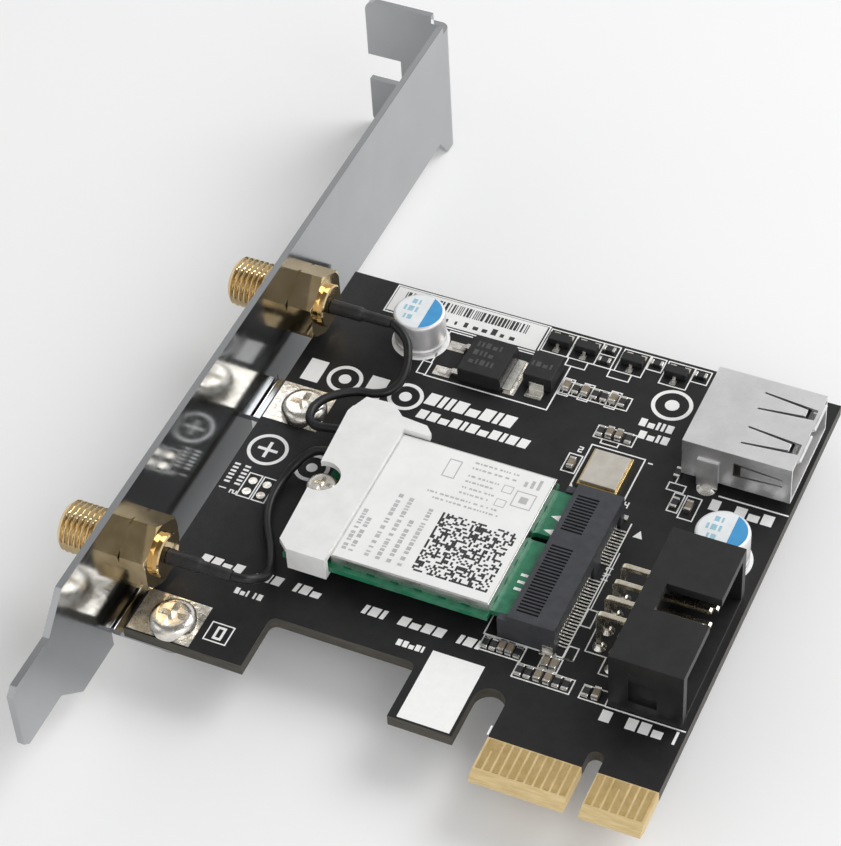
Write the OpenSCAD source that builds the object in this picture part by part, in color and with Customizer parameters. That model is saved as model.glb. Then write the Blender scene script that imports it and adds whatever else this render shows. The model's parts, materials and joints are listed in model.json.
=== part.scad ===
// Low-profile PCI Express x1 adapter card that carries an M.2 2230 wireless module.
//
// Frame: X runs from the bracket to the far end of the card, Y from the edge
// contacts up the card, and Z out of the component side. The origin is on the
// component side, at the card's lower edge, on the centre line of the key notch.

/* [Circuit board] */
// Thickness of the board
board_t = 1.6; // [1.4:0.1:1.7]
// Height of the board above its lower edge
board_h = 68.5; // [66:0.1:68.9]
// Left edge of the board, next to the bracket
board_left = -57.6; // [-58:0.1:-57]
// Right edge of the board
board_right = 8.15; // [8.15:0.05:12]
// Width of one edge contact
contact_w = 0.7; // [0.6:0.05:0.75]
// Length of one edge contact
contact_len = 4.2; // [3.8:0.1:4.4]

/* [Bracket] */
// Thickness of the bracket's sheet
sheet_t = 0.86; // [0.8:0.01:1.0]
// Width of the bracket's blade
blade_w = 18.42; // [18.3:0.01:18.5]
// Overall length of the bracket
blade_len = 120.02; // [119.8:0.01:120.2]
// Gap between the bracket's inner face and the board's edge
blade_gap = 1.8; // [1.6:0.1:2.2]
// How far the screw tab reaches out from the blade
tab_reach = 11.43; // [11:0.01:12]
// Width of the screw tab
tab_w = 21.59; // [21:0.01:22]
// Width of the screw notch in the tab
notch_w = 4.42; // [4.2:0.01:4.6]

/* [Antenna jacks] */
// Radius of the jack's 1/4-36 thread
thread_r = 3.175; // [3.1:0.005:3.2]
// Distance across the flats of the hexagons
hex_af = 8.0; // [7.9:0.1:8.2]
// Height of the lower jack's axis above the board's lower edge
jack_low_y = 12.4; // [12.2:0.1:13]
// Distance between the two jacks
jack_spacing = 44.5; // [43:0.1:44.6]
// Diameter of the coaxial pigtails
coax_d = 1.13; // [1.0:0.01:1.2]

/* [Wireless module] */
// Width of the module
module_w = 22; // [21.85:0.05:22.15]
// Length of the module
module_len = 30; // [29.85:0.05:30.15]
// Thickness of the module's board
module_t = 0.8; // [0.7:0.05:0.85]
// Height of the module's underside above the card
module_lift = 2.25; // [2.2:0.05:2.3]

/* [Ports] */
// Width of the USB receptacle's shell
usb_w = 13.1; // [12.9:0.1:13.2]
// Height of the USB receptacle's shell
usb_h = 5.7; // [5.6:0.05:5.8]
// Gap between the USB receptacle's shell and the board
usb_lift = 1.3; // [1.2:0.1:1.4]
// Length of the pin header's shroud
shroud_len = 20.3; // [20.2:0.1:20.4]
// Height of the pin header's shroud
shroud_h = 8.9; // [8.8:0.1:9]
// Distance between neighbouring header pins
pin_pitch = 2.54; // [2.54]

/* [Hidden] */

fine = 48;
skin = 0.05;      // thickness of printed, plated and stuck-on layers
eps = 0.01;       // how far a cut reaches past a face

// Board outline
foot_y = 4.4;         // lower edge at the bracket's end
foot_right = -42.3;
relief_y = 12.3;      // lower edge over the wide relief
relief_right = -23.85;
ear_y = 4.2;          // lower edge of the ear beside the slot
slot_left = -15.94;   // stadium slot between the ear and the contact tongue
slot_right = -12.15;
slot_top = 12.2;
key_r = 0.95;
key_top = 8.4;
bevel_len = 1.3;
bevel_depth = 0.45;
corner_r = 1;
contact_y = 1.4;      // lower end of the contacts
first_contact_x = -11.5;
group_a = 11;         // contacts before the key notch
group_b = 7;          // contacts after it
second_contact_x = 1.5;

// Bracket
blade_in = board_left - blade_gap;       // inner face, towards the board
blade_out = blade_in - sheet_t;
blade_top = 104.6;
blade_foot = blade_top - blade_len;
blade_hi = 14.32;                        // edge on the component side
blade_lo = blade_hi - blade_w;           // edge on the solder side
ear_lo = blade_hi - tab_w;
tongue_lo = 0;                           // the narrow tongue at the foot
tongue_hi = 10.19;
taper_top = -3;
bend_in = 0.4;                           // inside radius of the bends
bend_out = bend_in + sheet_t;
tab_end = blade_out - tab_reach;
notch_z = 2.9;
notch_depth = 4.9;
ledge_w = 7.1;                           // the two ledges under the board
ledge_pad_r = 2.9;
ledge_low_y = 4.8;
ledge_high_y = 41.6;

// Screws that hold the bracket
bracket_screw_low = [-52.4, 7.2];
bracket_screw_high = [-52.9, 43.4];
screw_head_r = 2.9;
screw_head_h = 1.6;
screw_r = 1.25;
screw_hole_r = 1.6;
screw_len = 3.6;

// Jacks
jack_z = (blade_hi + blade_lo) / 2;
jack_high_y = jack_low_y + jack_spacing;
hex_t = 3.45;
thread_end = -68.4;
flat_z = 2.9;                            // flat that stops the jack turning
washer_t = 0.4;
nut_t = 2;
nut_clear = 0.05;
seat_gap = 0.02;                         // between a fastener and what it bears on
washer_x = blade_out - seat_gap - washer_t;
boss_end = blade_in + hex_t + 0.8;
root_r = 3;                              // thread where the nut and the washer sit
free_end = washer_x - nut_t - 0.1;       // inner end of the free thread
sleeve_step = -51;
sleeve_end = -46.9;

// Module
module_left = -44;
module_mid = 30.3;                       // centre line of the module, along Y
module_top = module_lift + module_t;
edge_w = 19.85;
edge_len = 4;
shield_right = -18;
shield_left = -38;
shield_w = 20.8;
shield_top = 4.5;
standoff_r = 2;
socket_x = -41.9;
socket_high_y = 39.2;
socket_low_y = 35.4;
socket_h = 0.3;
plug_h = 0.9;
coax_z = 3.72;

// Clip over the module's antenna end
clip_lo = 4.35;
clip_hi = 5.2;
clip_foot = 1.75;                        // lower end of the clip's side walls
clip_wall = 0.75;
clip_cut_r = 2.35;                       // round cut that clears the module's screw

// M.2 slot connector
conn_left = -15.5;
conn_right = -9.7;
conn_w = 21.9;
conn_h = 4.15;
conn_arm = 1.3;
arm_h = 3.3;
slit_pitch = 0.5;
slit_groups = [[20.7, 22], [34, 12]];    // first position and number of contacts
key_y = 32.6;
key_w = 1.2;

// USB receptacle
usb_back = -5.8;
usb_front = 7.9;
usb_mid = 56.4;
shell_t = 0.3;
spring_offset = 3;    // from the receptacle's middle to a spring of its top
tongue_z = 2.9;       // underside of the tongue above the shell's underside
usb_leg_x = -2.45;
usb_tail_x = -4.6;
pin_hole_r = 0.5;

// Pin header
shroud_back = -1.4;
shroud_front = 7.5;
header_mid = 24.9;
shroud_wall = 1.1;
low_row_z = 3.2;
pin_w = 0.64;
pin_tip = 6.2;
low_leg_x = -2.9;
high_leg_x = -5.4;

// Capacitors
can_r = 3.3;
can_rim_z = 0.25;     // lower end of the can
can_h = 5;
bung_r = 2.8;
bung_top = 0.95;
cap_lead_r = 0.3;
cap_hole_r = 0.4;
cap_lead_pitch = 2.5;
supply_cap = [-44.6, 60.2];
port_cap = [3, 39.9];

// Small parts, as [x, y, quarter turns]
resistors = [
    [-21.7, 67, 0], [-21.6, 65, 0], [-15.3, 66.9, 0], [-9.5, 66.9, 0], [-23, 59.1, 1],
    [-20.5, 59.1, 1], [-19.3, 59.1, 1], [-16.9, 59.1, 1], [-17.6, 53.6, 1], [-13.9, 53.6, 1],
    [-17.6, 17.9, 1], [-16.6, 17.9, 1], [-13.6, 17.9, 1], [-12.5, 15.6, 1], [-11.4, 15.6, 1],
    [-7.9, 15.6, 1], [-6.8, 15.6, 1], [-4.3, 15.6, 1], [-5.1, 45.9, 1], [-6.4, 50.6, 1]
];
ceramics = [
    [-24.3, 59.1, 1], [-21.8, 59.1, 1], [-18.1, 59.1, 1], [-16.4, 53.6, 1], [-15.2, 53.6, 1],
    [-15.6, 17.9, 1], [-14.6, 17.9, 1], [-10.2, 15.6, 1], [-9, 15.6, 1], [-10.1, 17.7, 1],
    [-9.1, 17.7, 1], [-18.9, 47.2, 1], [-3.3, 45.8, 1], [-3.1, 15.6, 1]
];
chip_l = 1.6;
chip_w = 0.8;
chip_h = 0.45;
terminal_l = 0.35;
transistors = [[-28, 66], [-24.4, 66], [-18.2, 66], [-12.4, 66]];

// Routes of the pigtails, from the jacks' sleeves to the plugs on the module
high_route = [
    [-46.82, 56.9, 5.11], [-46, 56.5, 5.08], [-45.1, 56, 4.9], [-44.1, 55.2, 4.5],
    [-43.3, 53.8, 3.9], [-42.8, 52, 3.2], [-42.8, 50.1, 2.6], [-43.6, 48.4, 2.3], [-45.1, 47.4, 2.3],
    [-46.9, 46.7, 2.6], [-48.6, 45.4, 2.9],
    [-50, 43.7, 3.1], [-50.7, 41.8, 3.1], [-50.3, 40, 3.1], [-49, 39.1, 3.2], [-47.2, 39.1, 3.5],
    [-45.4, 39.2, 3.7], [-43.62, 39.2, 3.72]
];
low_route = [
    [-46.82, 12.4, 5.11], [-46, 12.4, 5.11], [-45, 12.8, 4.9], [-44.3, 13.9, 4.2], [-44.2, 15.5, 3],
    [-45, 17.9, 1.6], [-46.6, 21.1, 0.8], [-48.8, 24.7, 0.7], [-49.9, 27.9, 0.7], [-50, 31.2, 0.9],
    [-49.2, 33.9, 1.7], [-47.7, 35.3, 2.8], [-46, 35.5, 3.5], [-44.8, 35.4, 3.7], [-43.62, 35.4, 3.72]
];
route_steps = 3;      // rings between neighbouring points of a route

// ---------------------------------------------------------------- helpers

// A block given by its lowest and highest corners.
module block(lo, hi) {
    translate(lo) cube(hi - lo);
}

// A cylinder along X, from x0 to x1, about the line (y, z).
module rod_x(x0, x1, y, z, r) {
    translate([x0, y, z]) rotate([0, 90, 0]) cylinder(h = x1 - x0, r = r, $fn = fine);
}

// An upright stadium cut, round at its top.
module stadium(left, right, top, bottom) {
    r = (right - left) / 2;
    translate([left, bottom]) square([right - left, top - r - bottom]);
    translate([left + r, top - r]) circle(r, $fn = fine);
}

// Material that rounds off an inside corner whose sides run along sx and sy.
module inside_fillet(at, sx, sy, r) {
    translate(at) scale([sx, sy]) difference() {
        translate([-eps, -eps]) square(r + eps);
        translate([r, r]) circle(r, $fn = fine);
    }
}

// An outline in Y and Z, extruded from x0 to x1.
module along_x(x0, x1) {
    translate([x0, 0, 0]) rotate([90, 0, 90]) linear_extrude(x1 - x0) children();
}

// An outline in X and Z, extruded from y0 to y1.
module along_y(y0, y1) {
    translate([0, y1, 0]) rotate([90, 0, 0]) linear_extrude(y1 - y0) children();
}

function spline(a, b, c, d, t) =
    0.5 * (2 * b + (c - a) * t + (2 * a - 5 * b + 4 * c - d) * t * t
           + (3 * b - a - 3 * c + d) * t * t * t);
function route_point(p, i, t) =
    spline(p[max(i - 1, 0)], p[i], p[i + 1], p[min(i + 2, len(p) - 1)], t);
function smooth_route(p) = concat(
    [for (i = [0 : len(p) - 2], k = [0 : route_steps - 1]) route_point(p, i, k / route_steps)],
    [p[len(p) - 1]]);
function unit(v) = v / norm(v);
function heading(q, i) = unit(q[min(i + 1, len(q) - 1)] - q[max(i - 1, 0)]);
function ring(centre, dir, r, n) =
    let (side = unit(cross(dir, [0, 0, 1])), up = cross(side, dir))
    [for (k = [0 : n - 1]) centre + r * (side * cos(360 * k / n) + up * sin(360 * k / n))];

// A tube of diameter d along a route.
module tube(route, d) {
    n = 8;
    q = smooth_route(route);
    last = len(q) - 1;
    points = [for (i = [0 : last]) each ring(q[i], heading(q, i), d / 2, n)];
    walls = [for (i = [0 : last - 1], k = [0 : n - 1])
        let (a = i * n + k, b = i * n + (k + 1) % n) each [[a, b, b + n], [a, b + n, a + n]]];
    caps = [[for (k = [n - 1 : -1 : 0]) k], [for (k = [0 : n - 1]) last * n + k]];
    polyhedron(points, concat(walls, caps));
}

// ---------------------------------------------------------------- board

module board_outline() {
    difference() {
        union() {
            translate([board_left, relief_y]) square([board_right - board_left, board_h - relief_y]);
            translate([board_left, foot_y]) square([foot_right - board_left, relief_y - foot_y + eps]);
            translate([relief_right, ear_y]) square([slot_left - relief_right, relief_y - ear_y + eps]);
            translate([slot_right, 0]) square([board_right - slot_right, relief_y + eps]);
            translate([slot_left, slot_top - 4])
                square([slot_right - slot_left, relief_y - slot_top + 4 + eps]);
            inside_fillet([foot_right, relief_y], 1, -1, corner_r);
            inside_fillet([relief_right, relief_y], -1, -1, corner_r);
        }
        stadium(slot_left, slot_right, slot_top, -eps);
        stadium(-key_r, key_r, key_top, -eps);
    }
}

module edge_bevels() {
    along_x(slot_right - eps, board_right + eps) {
        polygon([[-eps, eps], [bevel_len, eps], [bevel_len, 0], [0, -bevel_depth], [-eps, -bevel_depth]]);
        polygon([[-eps, -board_t - eps], [bevel_len, -board_t - eps], [bevel_len, -board_t],
                 [0, bevel_depth - board_t], [-eps, bevel_depth - board_t]]);
    }
}

module circuit_board() {
    color([0.06, 0.06, 0.07]) difference() {
        translate([0, 0, -board_t]) linear_extrude(board_t) difference() {
            board_outline();
            translate(bracket_screw_low) circle(screw_hole_r, $fn = fine);
            translate(bracket_screw_high) circle(screw_hole_r, $fn = fine);
            for (p = header_holes()) translate([p[2], p[0]]) circle(pin_hole_r, $fn = fine);
            for (y = usb_contact_ys()) translate([usb_tail_x, y]) circle(pin_hole_r, $fn = fine);
            for (p = cap_lead_places()) translate(p) circle(cap_hole_r, $fn = fine);
            for (s = [-1, 1]) translate([usb_leg_x - 0.9, usb_leg_y(s) - 0.4]) square([1.8, 0.8]);
        }
        edge_bevels();
    }
}

function contact_xs() = concat(
    [for (i = [0 : group_a - 1]) first_contact_x + i],
    [for (i = [0 : group_b - 1]) second_contact_x + i]);

module contact_row(z) {
    for (x = contact_xs())
        block([x - contact_w / 2, contact_y, z], [x + contact_w / 2, contact_y + contact_len, z + skin]);
}

// Copper that joins two neighbouring contacts at their upper ends.
module contact_bridge(x, len) {
    block([x + contact_w / 2, contact_y + contact_len - len, 0],
          [x + 1 - contact_w / 2, contact_y + contact_len, skin]);
}

module edge_contacts_front() {
    color([0.85, 0.66, 0.25]) {
        contact_row(0);
        contact_bridge(first_contact_x, 1.4);
        contact_bridge(second_contact_x + 2, 1);
    }
}

module edge_contacts_back() {
    color([0.85, 0.66, 0.25]) contact_row(-board_t - skin);
}

module screw_pad(lo, hi, hole) {
    difference() {
        block([lo[0], lo[1], 0], [hi[0], hi[1], skin]);
        translate([hole[0], hole[1], -1]) cylinder(h = 2, r = screw_hole_r, $fn = fine);
    }
}

module mounting_pads() {
    color([0.8, 0.78, 0.72]) {
        screw_pad([-57.3, 4.6], [-49.2, 10.9], bracket_screw_low);
        screw_pad([-57.4, 40.7], [-50.1, 47.3], bracket_screw_high);
    }
}

module test_pads() {
    color([0.9, 0.75, 0.4])
        for (at = [[-53.7, 28.8], [-51.8, 28.8], [-53.7, 30.6], [-51.8, 30.6]])
            translate(at) cylinder(h = skin, r = 0.55, $fn = fine);
}

// ---------------------------------------------------------------- bracket

module blade_outline() {
    difference() {
        polygon([
            [blade_foot, tongue_lo + 1], [blade_foot + 1, tongue_lo], [taper_top - 4.1, tongue_lo],
            [taper_top, blade_lo], [ledge_low_y - 0.3, blade_lo], [ledge_low_y - 0.3, -board_t],
            [ledge_low_y + ledge_w + 0.3, -board_t], [ledge_low_y + ledge_w + 0.3, blade_lo],
            [ledge_high_y - 0.3, blade_lo], [ledge_high_y - 0.3, -board_t],
            [ledge_high_y + ledge_w + 0.3, -board_t], [ledge_high_y + ledge_w + 0.3, blade_lo],
            [99.6, blade_lo], [101.8, ear_lo], [blade_top - bend_out, ear_lo],
            [blade_top - bend_out, blade_hi - 1.2], [102.2, blade_hi - 1.2], [102.2, blade_hi],
            [taper_top, blade_hi], [taper_top - 4.1, tongue_hi], [blade_foot + 1, tongue_hi],
            [blade_foot, tongue_hi - 1]
        ]);
        for (y = [jack_low_y, jack_high_y]) jack_hole(y);
    }
}

// D-shaped hole for a jack's thread.
module jack_hole(y) {
    r = thread_r + nut_clear;
    intersection() {
        translate([y, jack_z]) circle(r, $fn = fine);
        translate([y - r, jack_z - r]) square([2 * r, r + flat_z + nut_clear]);
    }
}

module screw_tab() {
    along_y(blade_top - sheet_t, blade_top) difference() {
        union() {
            translate([tab_end, ear_lo + 1.5]) square([blade_in - bend_out - tab_end, tab_w - 3]);
            translate([tab_end + 1.5, ear_lo]) square([blade_in - bend_out - tab_end - 1.5, tab_w]);
            translate([tab_end + 1.5, ear_lo + 1.5]) circle(1.5, $fn = fine);
            translate([tab_end + 1.5, blade_hi - 1.5]) circle(1.5, $fn = fine);
        }
        translate([tab_end - eps, notch_z - notch_w / 2]) square([notch_depth, notch_w]);
        translate([blade_in - bend_out - 1.2, blade_hi - 1.2]) square([1.3, 1.3]);
    }
}

// A quarter-round bend of the sheet, as an outline about its centre.
module bend_outline(sx, sy) {
    scale([sx, sy]) intersection() {
        difference() {
            circle(bend_out, $fn = fine);
            circle(bend_in, $fn = fine);
        }
        square(bend_out);
    }
}

module ledge(y, hole) {
    top = -board_t;
    difference() {
        union() {
            block([blade_in + bend_in, y, top - sheet_t], [hole[0], y + ledge_w, top]);
            translate([hole[0], hole[1] + 0.4, top - sheet_t])
                cylinder(h = sheet_t, r = ledge_pad_r, $fn = fine);
            translate([hole[0], y + ledge_w - ledge_pad_r, top - sheet_t])
                cylinder(h = sheet_t, r = ledge_pad_r, $fn = fine);
            along_y(y, y + ledge_w) translate([blade_in + bend_in, top + bend_in]) bend_outline(-1, -1);
            block([blade_out, y, top + bend_in - eps], [blade_in, y + ledge_w, top + bend_in + 0.6]);
        }
        translate([hole[0], hole[1], -5]) cylinder(h = 5, r = screw_r + 0.05, $fn = fine);
    }
}

module bracket() {
    color([0.75, 0.76, 0.77]) {
        difference() {
            along_x(blade_out, blade_in) blade_outline();
            for (y = [ledge_low_y, ledge_high_y])
                block([blade_out - eps, y - 0.3, -board_t - eps],
                      [blade_in + eps, y + ledge_w + 0.3, bend_in - board_t]);
        }
        top_bend();
        screw_tab();
        ledge(ledge_low_y, bracket_screw_low);
        ledge(ledge_high_y, bracket_screw_high);
    }
}

module top_bend() {
    translate([blade_in - bend_out, blade_top - bend_out, ear_lo])
        linear_extrude(tab_w - 1.2) bend_outline(1, 1);
}

// Pan-head screw with a cross recess, its head's seat at z = 0.
module pan_screw(head_r, head_h, shank_r, length, recess) {
    difference() {
        union() {
            rotate_extrude($fn = fine) polygon(concat(
                [[0, 0], [head_r, 0], [head_r, head_h * 0.35]],
                [for (a = [15 : 15 : 90])
                    [head_r * (0.62 + 0.38 * cos(a)), head_h * (0.35 + 0.65 * sin(a))]],
                [[0, head_h]]));
            translate([0, 0, -length]) cylinder(h = length + eps, r = shank_r, $fn = fine);
        }
        for (a = [0, 90]) rotate([0, 0, a])
            block([-recess, -recess * 0.24, head_h - recess * 0.55], [recess, recess * 0.24, head_h + 1]);
    }
}

module bracket_screw(at) {
    color([0.85, 0.84, 0.8]) translate([at[0], at[1], skin + seat_gap])
        pan_screw(screw_head_r, screw_head_h, screw_r, screw_len, 1.7);
}

module upper_bracket_screw() { bracket_screw(bracket_screw_high); }
module lower_bracket_screw() { bracket_screw(bracket_screw_low); }

// ---------------------------------------------------------------- antenna jacks

// A hexagon along X with chamfered corners at both ends and a corner at corner_a degrees.
module hex_x(x0, x1, y, corner_a) {
    corner_r = hex_af / sqrt(3);
    translate([x0, y, jack_z]) rotate([0, 90, 0]) intersection() {
        rotate([0, 0, corner_a]) cylinder(h = x1 - x0, r = corner_r, $fn = 6);
        rotate_extrude($fn = fine) polygon([
            [0, 0], [hex_af / 2, 0], [corner_r, 0.35], [corner_r, x1 - x0 - 0.35],
            [hex_af / 2, x1 - x0], [0, x1 - x0]]);
    }
}

module jack_body(y) {
    color([0.83, 0.68, 0.36]) difference() {
        union() {
            hex_x(blade_in, blade_in + hex_t, y, 0);
            rod_x(blade_in + hex_t - eps, boss_end, y, jack_z, 2.75);
            difference() {
                translate([thread_end, y, jack_z]) rotate([0, 90, 0]) rotate_extrude($fn = fine)
                    polygon([[0, 0], [thread_r - 0.4, 0], [thread_r, 0.4],
                             [thread_r, free_end - thread_end], [root_r, free_end - thread_end],
                             [root_r, blade_in - thread_end + eps], [0, blade_in - thread_end + eps]]);
                block([thread_end - 1, y - 4, jack_z + flat_z], [blade_in, y + 4, jack_z + 4]);
            }
        }
        rod_x(thread_end - 1, -62.5, y, jack_z, 2.3);
        rod_x(-62.6, boss_end + 1, y, jack_z, 0.95);
    }
}

module jack_insulator(y) {
    color([0.93, 0.92, 0.88]) difference() {
        rod_x(-65.5, -62.5, y, jack_z, 2.3);
        rod_x(-66, -62, y, jack_z, 0.46);
    }
}

module jack_pin(y) {
    color([0.88, 0.72, 0.36]) {
        rod_x(-67.4, -62.5, y, jack_z, 0.46);
        rod_x(-62.5, boss_end, y, jack_z, 0.46);
    }
}

// Thin ring with inside teeth.
module lock_washer(y) {
    color([0.83, 0.68, 0.36]) translate([washer_x, y, jack_z]) rotate([0, 90, 0])
        linear_extrude(washer_t) difference() {
            circle(4.1, $fn = fine);
            circle(thread_r + nut_clear, $fn = fine);
            for (a = [0 : 30 : 330]) rotate(a + 15) translate([3, -0.25]) square([0.6, 0.5]);
        }
}

module jack_nut(y) {
    color([0.83, 0.68, 0.36]) difference() {
        hex_x(washer_x - seat_gap - nut_t, washer_x - seat_gap, y, 30);
        rod_x(washer_x - nut_t - 1, blade_out, y, jack_z, thread_r + nut_clear);
    }
}

// Heat-shrink sleeve in two steps over the crimped end of the coaxial lead.
module jack_sleeve(y) {
    color([0.06, 0.06, 0.07]) {
        rod_x(boss_end, sleeve_step, y, jack_z, 0.95);
        rod_x(sleeve_step, sleeve_end, y, jack_z, 0.72);
    }
}

// Right-angle coaxial plug, pressed onto a socket of the module.
module coax_plug(y) {
    z0 = module_top + socket_h;
    color([0.8, 0.74, 0.55]) {
        translate([socket_x, y, z0]) cylinder(h = plug_h, r = 1.15, $fn = fine);
        block([-43.6, y - 0.6, z0 - 0.2], [socket_x - 0.9, y + 0.6, z0 + plug_h]);
    }
}

module upper_jack_body() { jack_body(jack_high_y); }
module lower_jack_body() { jack_body(jack_low_y); }
module upper_jack_insulator() { jack_insulator(jack_high_y); }
module lower_jack_insulator() { jack_insulator(jack_low_y); }
module upper_jack_pin() { jack_pin(jack_high_y); }
module lower_jack_pin() { jack_pin(jack_low_y); }
module upper_lock_washer() { lock_washer(jack_high_y); }
module lower_lock_washer() { lock_washer(jack_low_y); }
module upper_jack_nut() { jack_nut(jack_high_y); }
module lower_jack_nut() { jack_nut(jack_low_y); }
module upper_jack_sleeve() { jack_sleeve(jack_high_y); }
module lower_jack_sleeve() { jack_sleeve(jack_low_y); }
module upper_coax_plug() { coax_plug(socket_high_y); }
module lower_coax_plug() { coax_plug(socket_low_y); }
module upper_pigtail() { color([0.05, 0.05, 0.06]) tube(high_route, coax_d); }
module lower_pigtail() { color([0.05, 0.05, 0.06]) tube(low_route, coax_d); }

// ---------------------------------------------------------------- wireless module

module clip_outline() {
    difference() {
        union() {
            polygon([
                [-42.9, 18.4], [-38, 18.4], [-38, 42.2], [-45.3, 42.2], [-45.6, 41.2],
                [-45.2, 34.7], [-44.7, 27.2], [-44.3, 19.6]]);
            polygon([[-45.6, 41.2], [-38, 40.9], [-34.6, 40.9], [-34.6, 41.4], [-35.6, 42.4],
                     [-39, 42.7], [-40.8, 44.3], [-44.4, 44.1]]);
        }
        translate([module_left, module_mid]) circle(clip_cut_r, $fn = fine);
    }
}

// Cap over the two coaxial plugs, snapped onto the sides of the module.
module antenna_clip() {
    y_lo = module_mid - module_w / 2 - 0.1;
    y_hi = module_mid + module_w / 2 + 0.1;
    color([0.94, 0.94, 0.93]) {
        translate([0, 0, clip_lo]) linear_extrude(clip_hi - clip_lo) clip_outline();
        block([-43, y_lo - clip_wall, clip_foot], [-38, y_lo, clip_lo]);
        block([-43, y_lo, clip_foot], [-38, y_lo + 0.5, module_lift]);
        block([-44.2, y_hi, clip_foot], [-38.6, y_hi + clip_wall, clip_lo]);
        block([-44.2, y_hi - 0.5, clip_foot], [-38.6, y_hi, module_lift]);
    }
}

module module_outline() {
    difference() {
        union() {
            translate([module_left, module_mid - module_w / 2])
                square([module_len - edge_len, module_w]);
            translate([module_left, module_mid - edge_w / 2]) square([module_len, edge_w]);
        }
        translate([module_left, module_mid]) circle(1.75, $fn = fine);
        translate([module_left + module_len - 3.5, key_y - key_w / 2]) square([4, key_w]);
        translate([module_left + module_len - 3.5, key_y]) circle(key_w / 2, $fn = fine);
    }
}

module module_board() {
    color([0.1, 0.42, 0.25]) translate([0, 0, module_lift]) linear_extrude(module_t) module_outline();
}

module module_contacts() {
    end = module_left + module_len - 0.3;
    len = 1.2;
    color([0.85, 0.68, 0.3]) for (group = slit_groups, i = [0 : group[1] - 1]) {
        y = group[0] + i * slit_pitch;
        block([end - len, y - 0.175, module_top], [end, y + 0.175, module_top + skin]);
        block([end - len, y - 0.175, module_lift - skin], [end, y + 0.175, module_lift]);
    }
}

module module_sockets() {
    color([0.85, 0.7, 0.35]) for (y = [socket_high_y, socket_low_y])
        translate([socket_x, y, module_top]) {
            difference() {
                translate([-1, -1, 0]) cube([2, 2, socket_h - 0.01]);
                translate([-1.01, -0.7, 0.04]) cube([0.4, 1.4, 1]);
            }
        }
}

module module_chips() {
    color([0.1, 0.1, 0.11]) {
        block([-32, 24, module_top], [-24, 32, module_top + 0.9]);
        block([-36.5, 33.5, module_top], [-32.5, 37.5, module_top + 0.8]);
        block([-36.5, 24.5, module_top], [-33.5, 27.5, module_top + 0.7]);
    }
}

module module_shield() {
    y0 = module_mid - shield_w / 2;
    y1 = module_mid + shield_w / 2;
    wall = 0.2;
    color([0.78, 0.78, 0.77]) difference() {
        block([shield_left, y0, module_top], [shield_right, y1, shield_top]);
        block([shield_left + wall, y0 + wall, module_top - 1],
              [shield_right - wall, y1 - wall, shield_top - wall]);
        for (x = [-36.4 : 3 : -19]) {
            block([x, y0 - 1, module_top - eps], [x + 1, y0 + wall + 0.1, module_top + 0.22]);
            block([x, y1 - wall - 0.1, module_top - eps], [x + 1, y1 + 1, module_top + 0.22]);
        }
        for (y = [y0 + 1.6 : 3 : y1 - 2])
            block([shield_right - wall - 0.1, y, module_top - eps],
                  [shield_right + 1, y + 1, module_top + 0.22]);
    }
}

module module_label() {
    color([0.95, 0.95, 0.94]) block(
        [shield_left + 0.25, module_mid - shield_w / 2 + 0.2, shield_top],
        [shield_right - 0.2, module_mid + shield_w / 2 - 0.2, shield_top + skin]);
}

module standoff() {
    color([0.8, 0.79, 0.75]) translate([module_left, module_mid, 0]) difference() {
        cylinder(h = module_lift, r = standoff_r, $fn = fine);
        translate([0, 0, 0.1]) cylinder(h = 3, r = 1.02, $fn = fine);
    }
}

module module_screw() {
    color([0.82, 0.8, 0.74]) translate([module_left, module_mid, module_top + seat_gap])
        pan_screw(1.95, 0.8, 0.97, 2.4, 1.05);
}

module slot_connector_body() {
    y0 = module_mid - conn_w / 2;
    y1 = module_mid + conn_w / 2;
    arm_y = (conn_w - edge_w) / 2 - 0.05;
    color([0.2, 0.21, 0.24]) difference() {
        union() {
            block([conn_left, y0, 0], [conn_right, y1, conn_h]);
            block([conn_left - conn_arm, y0, 0], [conn_left + eps, y0 + arm_y, arm_h]);
            block([conn_left - conn_arm, y1 - arm_y, 0], [conn_left + eps, y1, arm_h]);
        }
        // the mouth that takes the module's edge, open around its key
        difference() {
            block([conn_left - 1, y0 + arm_y, module_lift - 0.3], [-13.9, y1 - arm_y, module_top + 0.3]);
            block([conn_left - 2, key_y - key_w / 2 + 0.1, 0], [-13, key_y + key_w / 2 - 0.1, 4]);
        }
        for (group = slit_groups, i = [0 : group[1] - 1])
            block([-14.9, group[0] + i * slit_pitch - 0.13, conn_h - 0.6],
                  [-12.2, group[0] + i * slit_pitch + 0.13, conn_h + 1]);
        // long recess over the solder tails
        block([conn_right - 0.5, y0 + 1.2, -1], [conn_right + 1, key_y - 1.1, 2.1]);
        block([conn_right - 0.5, key_y + 1.1, -1], [conn_right + 1, y1 - 1.2, 2.1]);
    }
}

module slot_connector_contacts() {
    color([0.78, 0.76, 0.7]) for (group = slit_groups, i = [0 : group[1] - 1]) {
        y = group[0] + i * slit_pitch;
        along_y(y - 0.1, y + 0.1) polygon([
            [conn_right - 0.5, 1.9], [conn_right - 0.5, 0], [conn_right + 1, 0],
            [conn_right + 1, 0.18], [conn_right - 0.3, 0.18], [conn_right - 0.3, 1.9]]);
    }
}

module slot_connector_pegs() {
    color([0.82, 0.81, 0.78]) for (s = [-1, 1]) {
        y = module_mid + s * conn_w / 2;
        block([-11.4, min(y, y + s * 0.7), 0], [-9.4, max(y, y + s * 0.7), 0.25]);
        block([-11.2, min(y, y + s * 0.2), 0.25], [-9.9, max(y, y + s * 0.2), 1.2]);
    }
}

// ---------------------------------------------------------------- USB receptacle

function usb_contact_ys() = [for (d = [-3.5, -1, 1, 3.5]) usb_mid + d];
function usb_leg_y(s) = usb_mid + s * (usb_w / 2 + 0.15);

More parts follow.
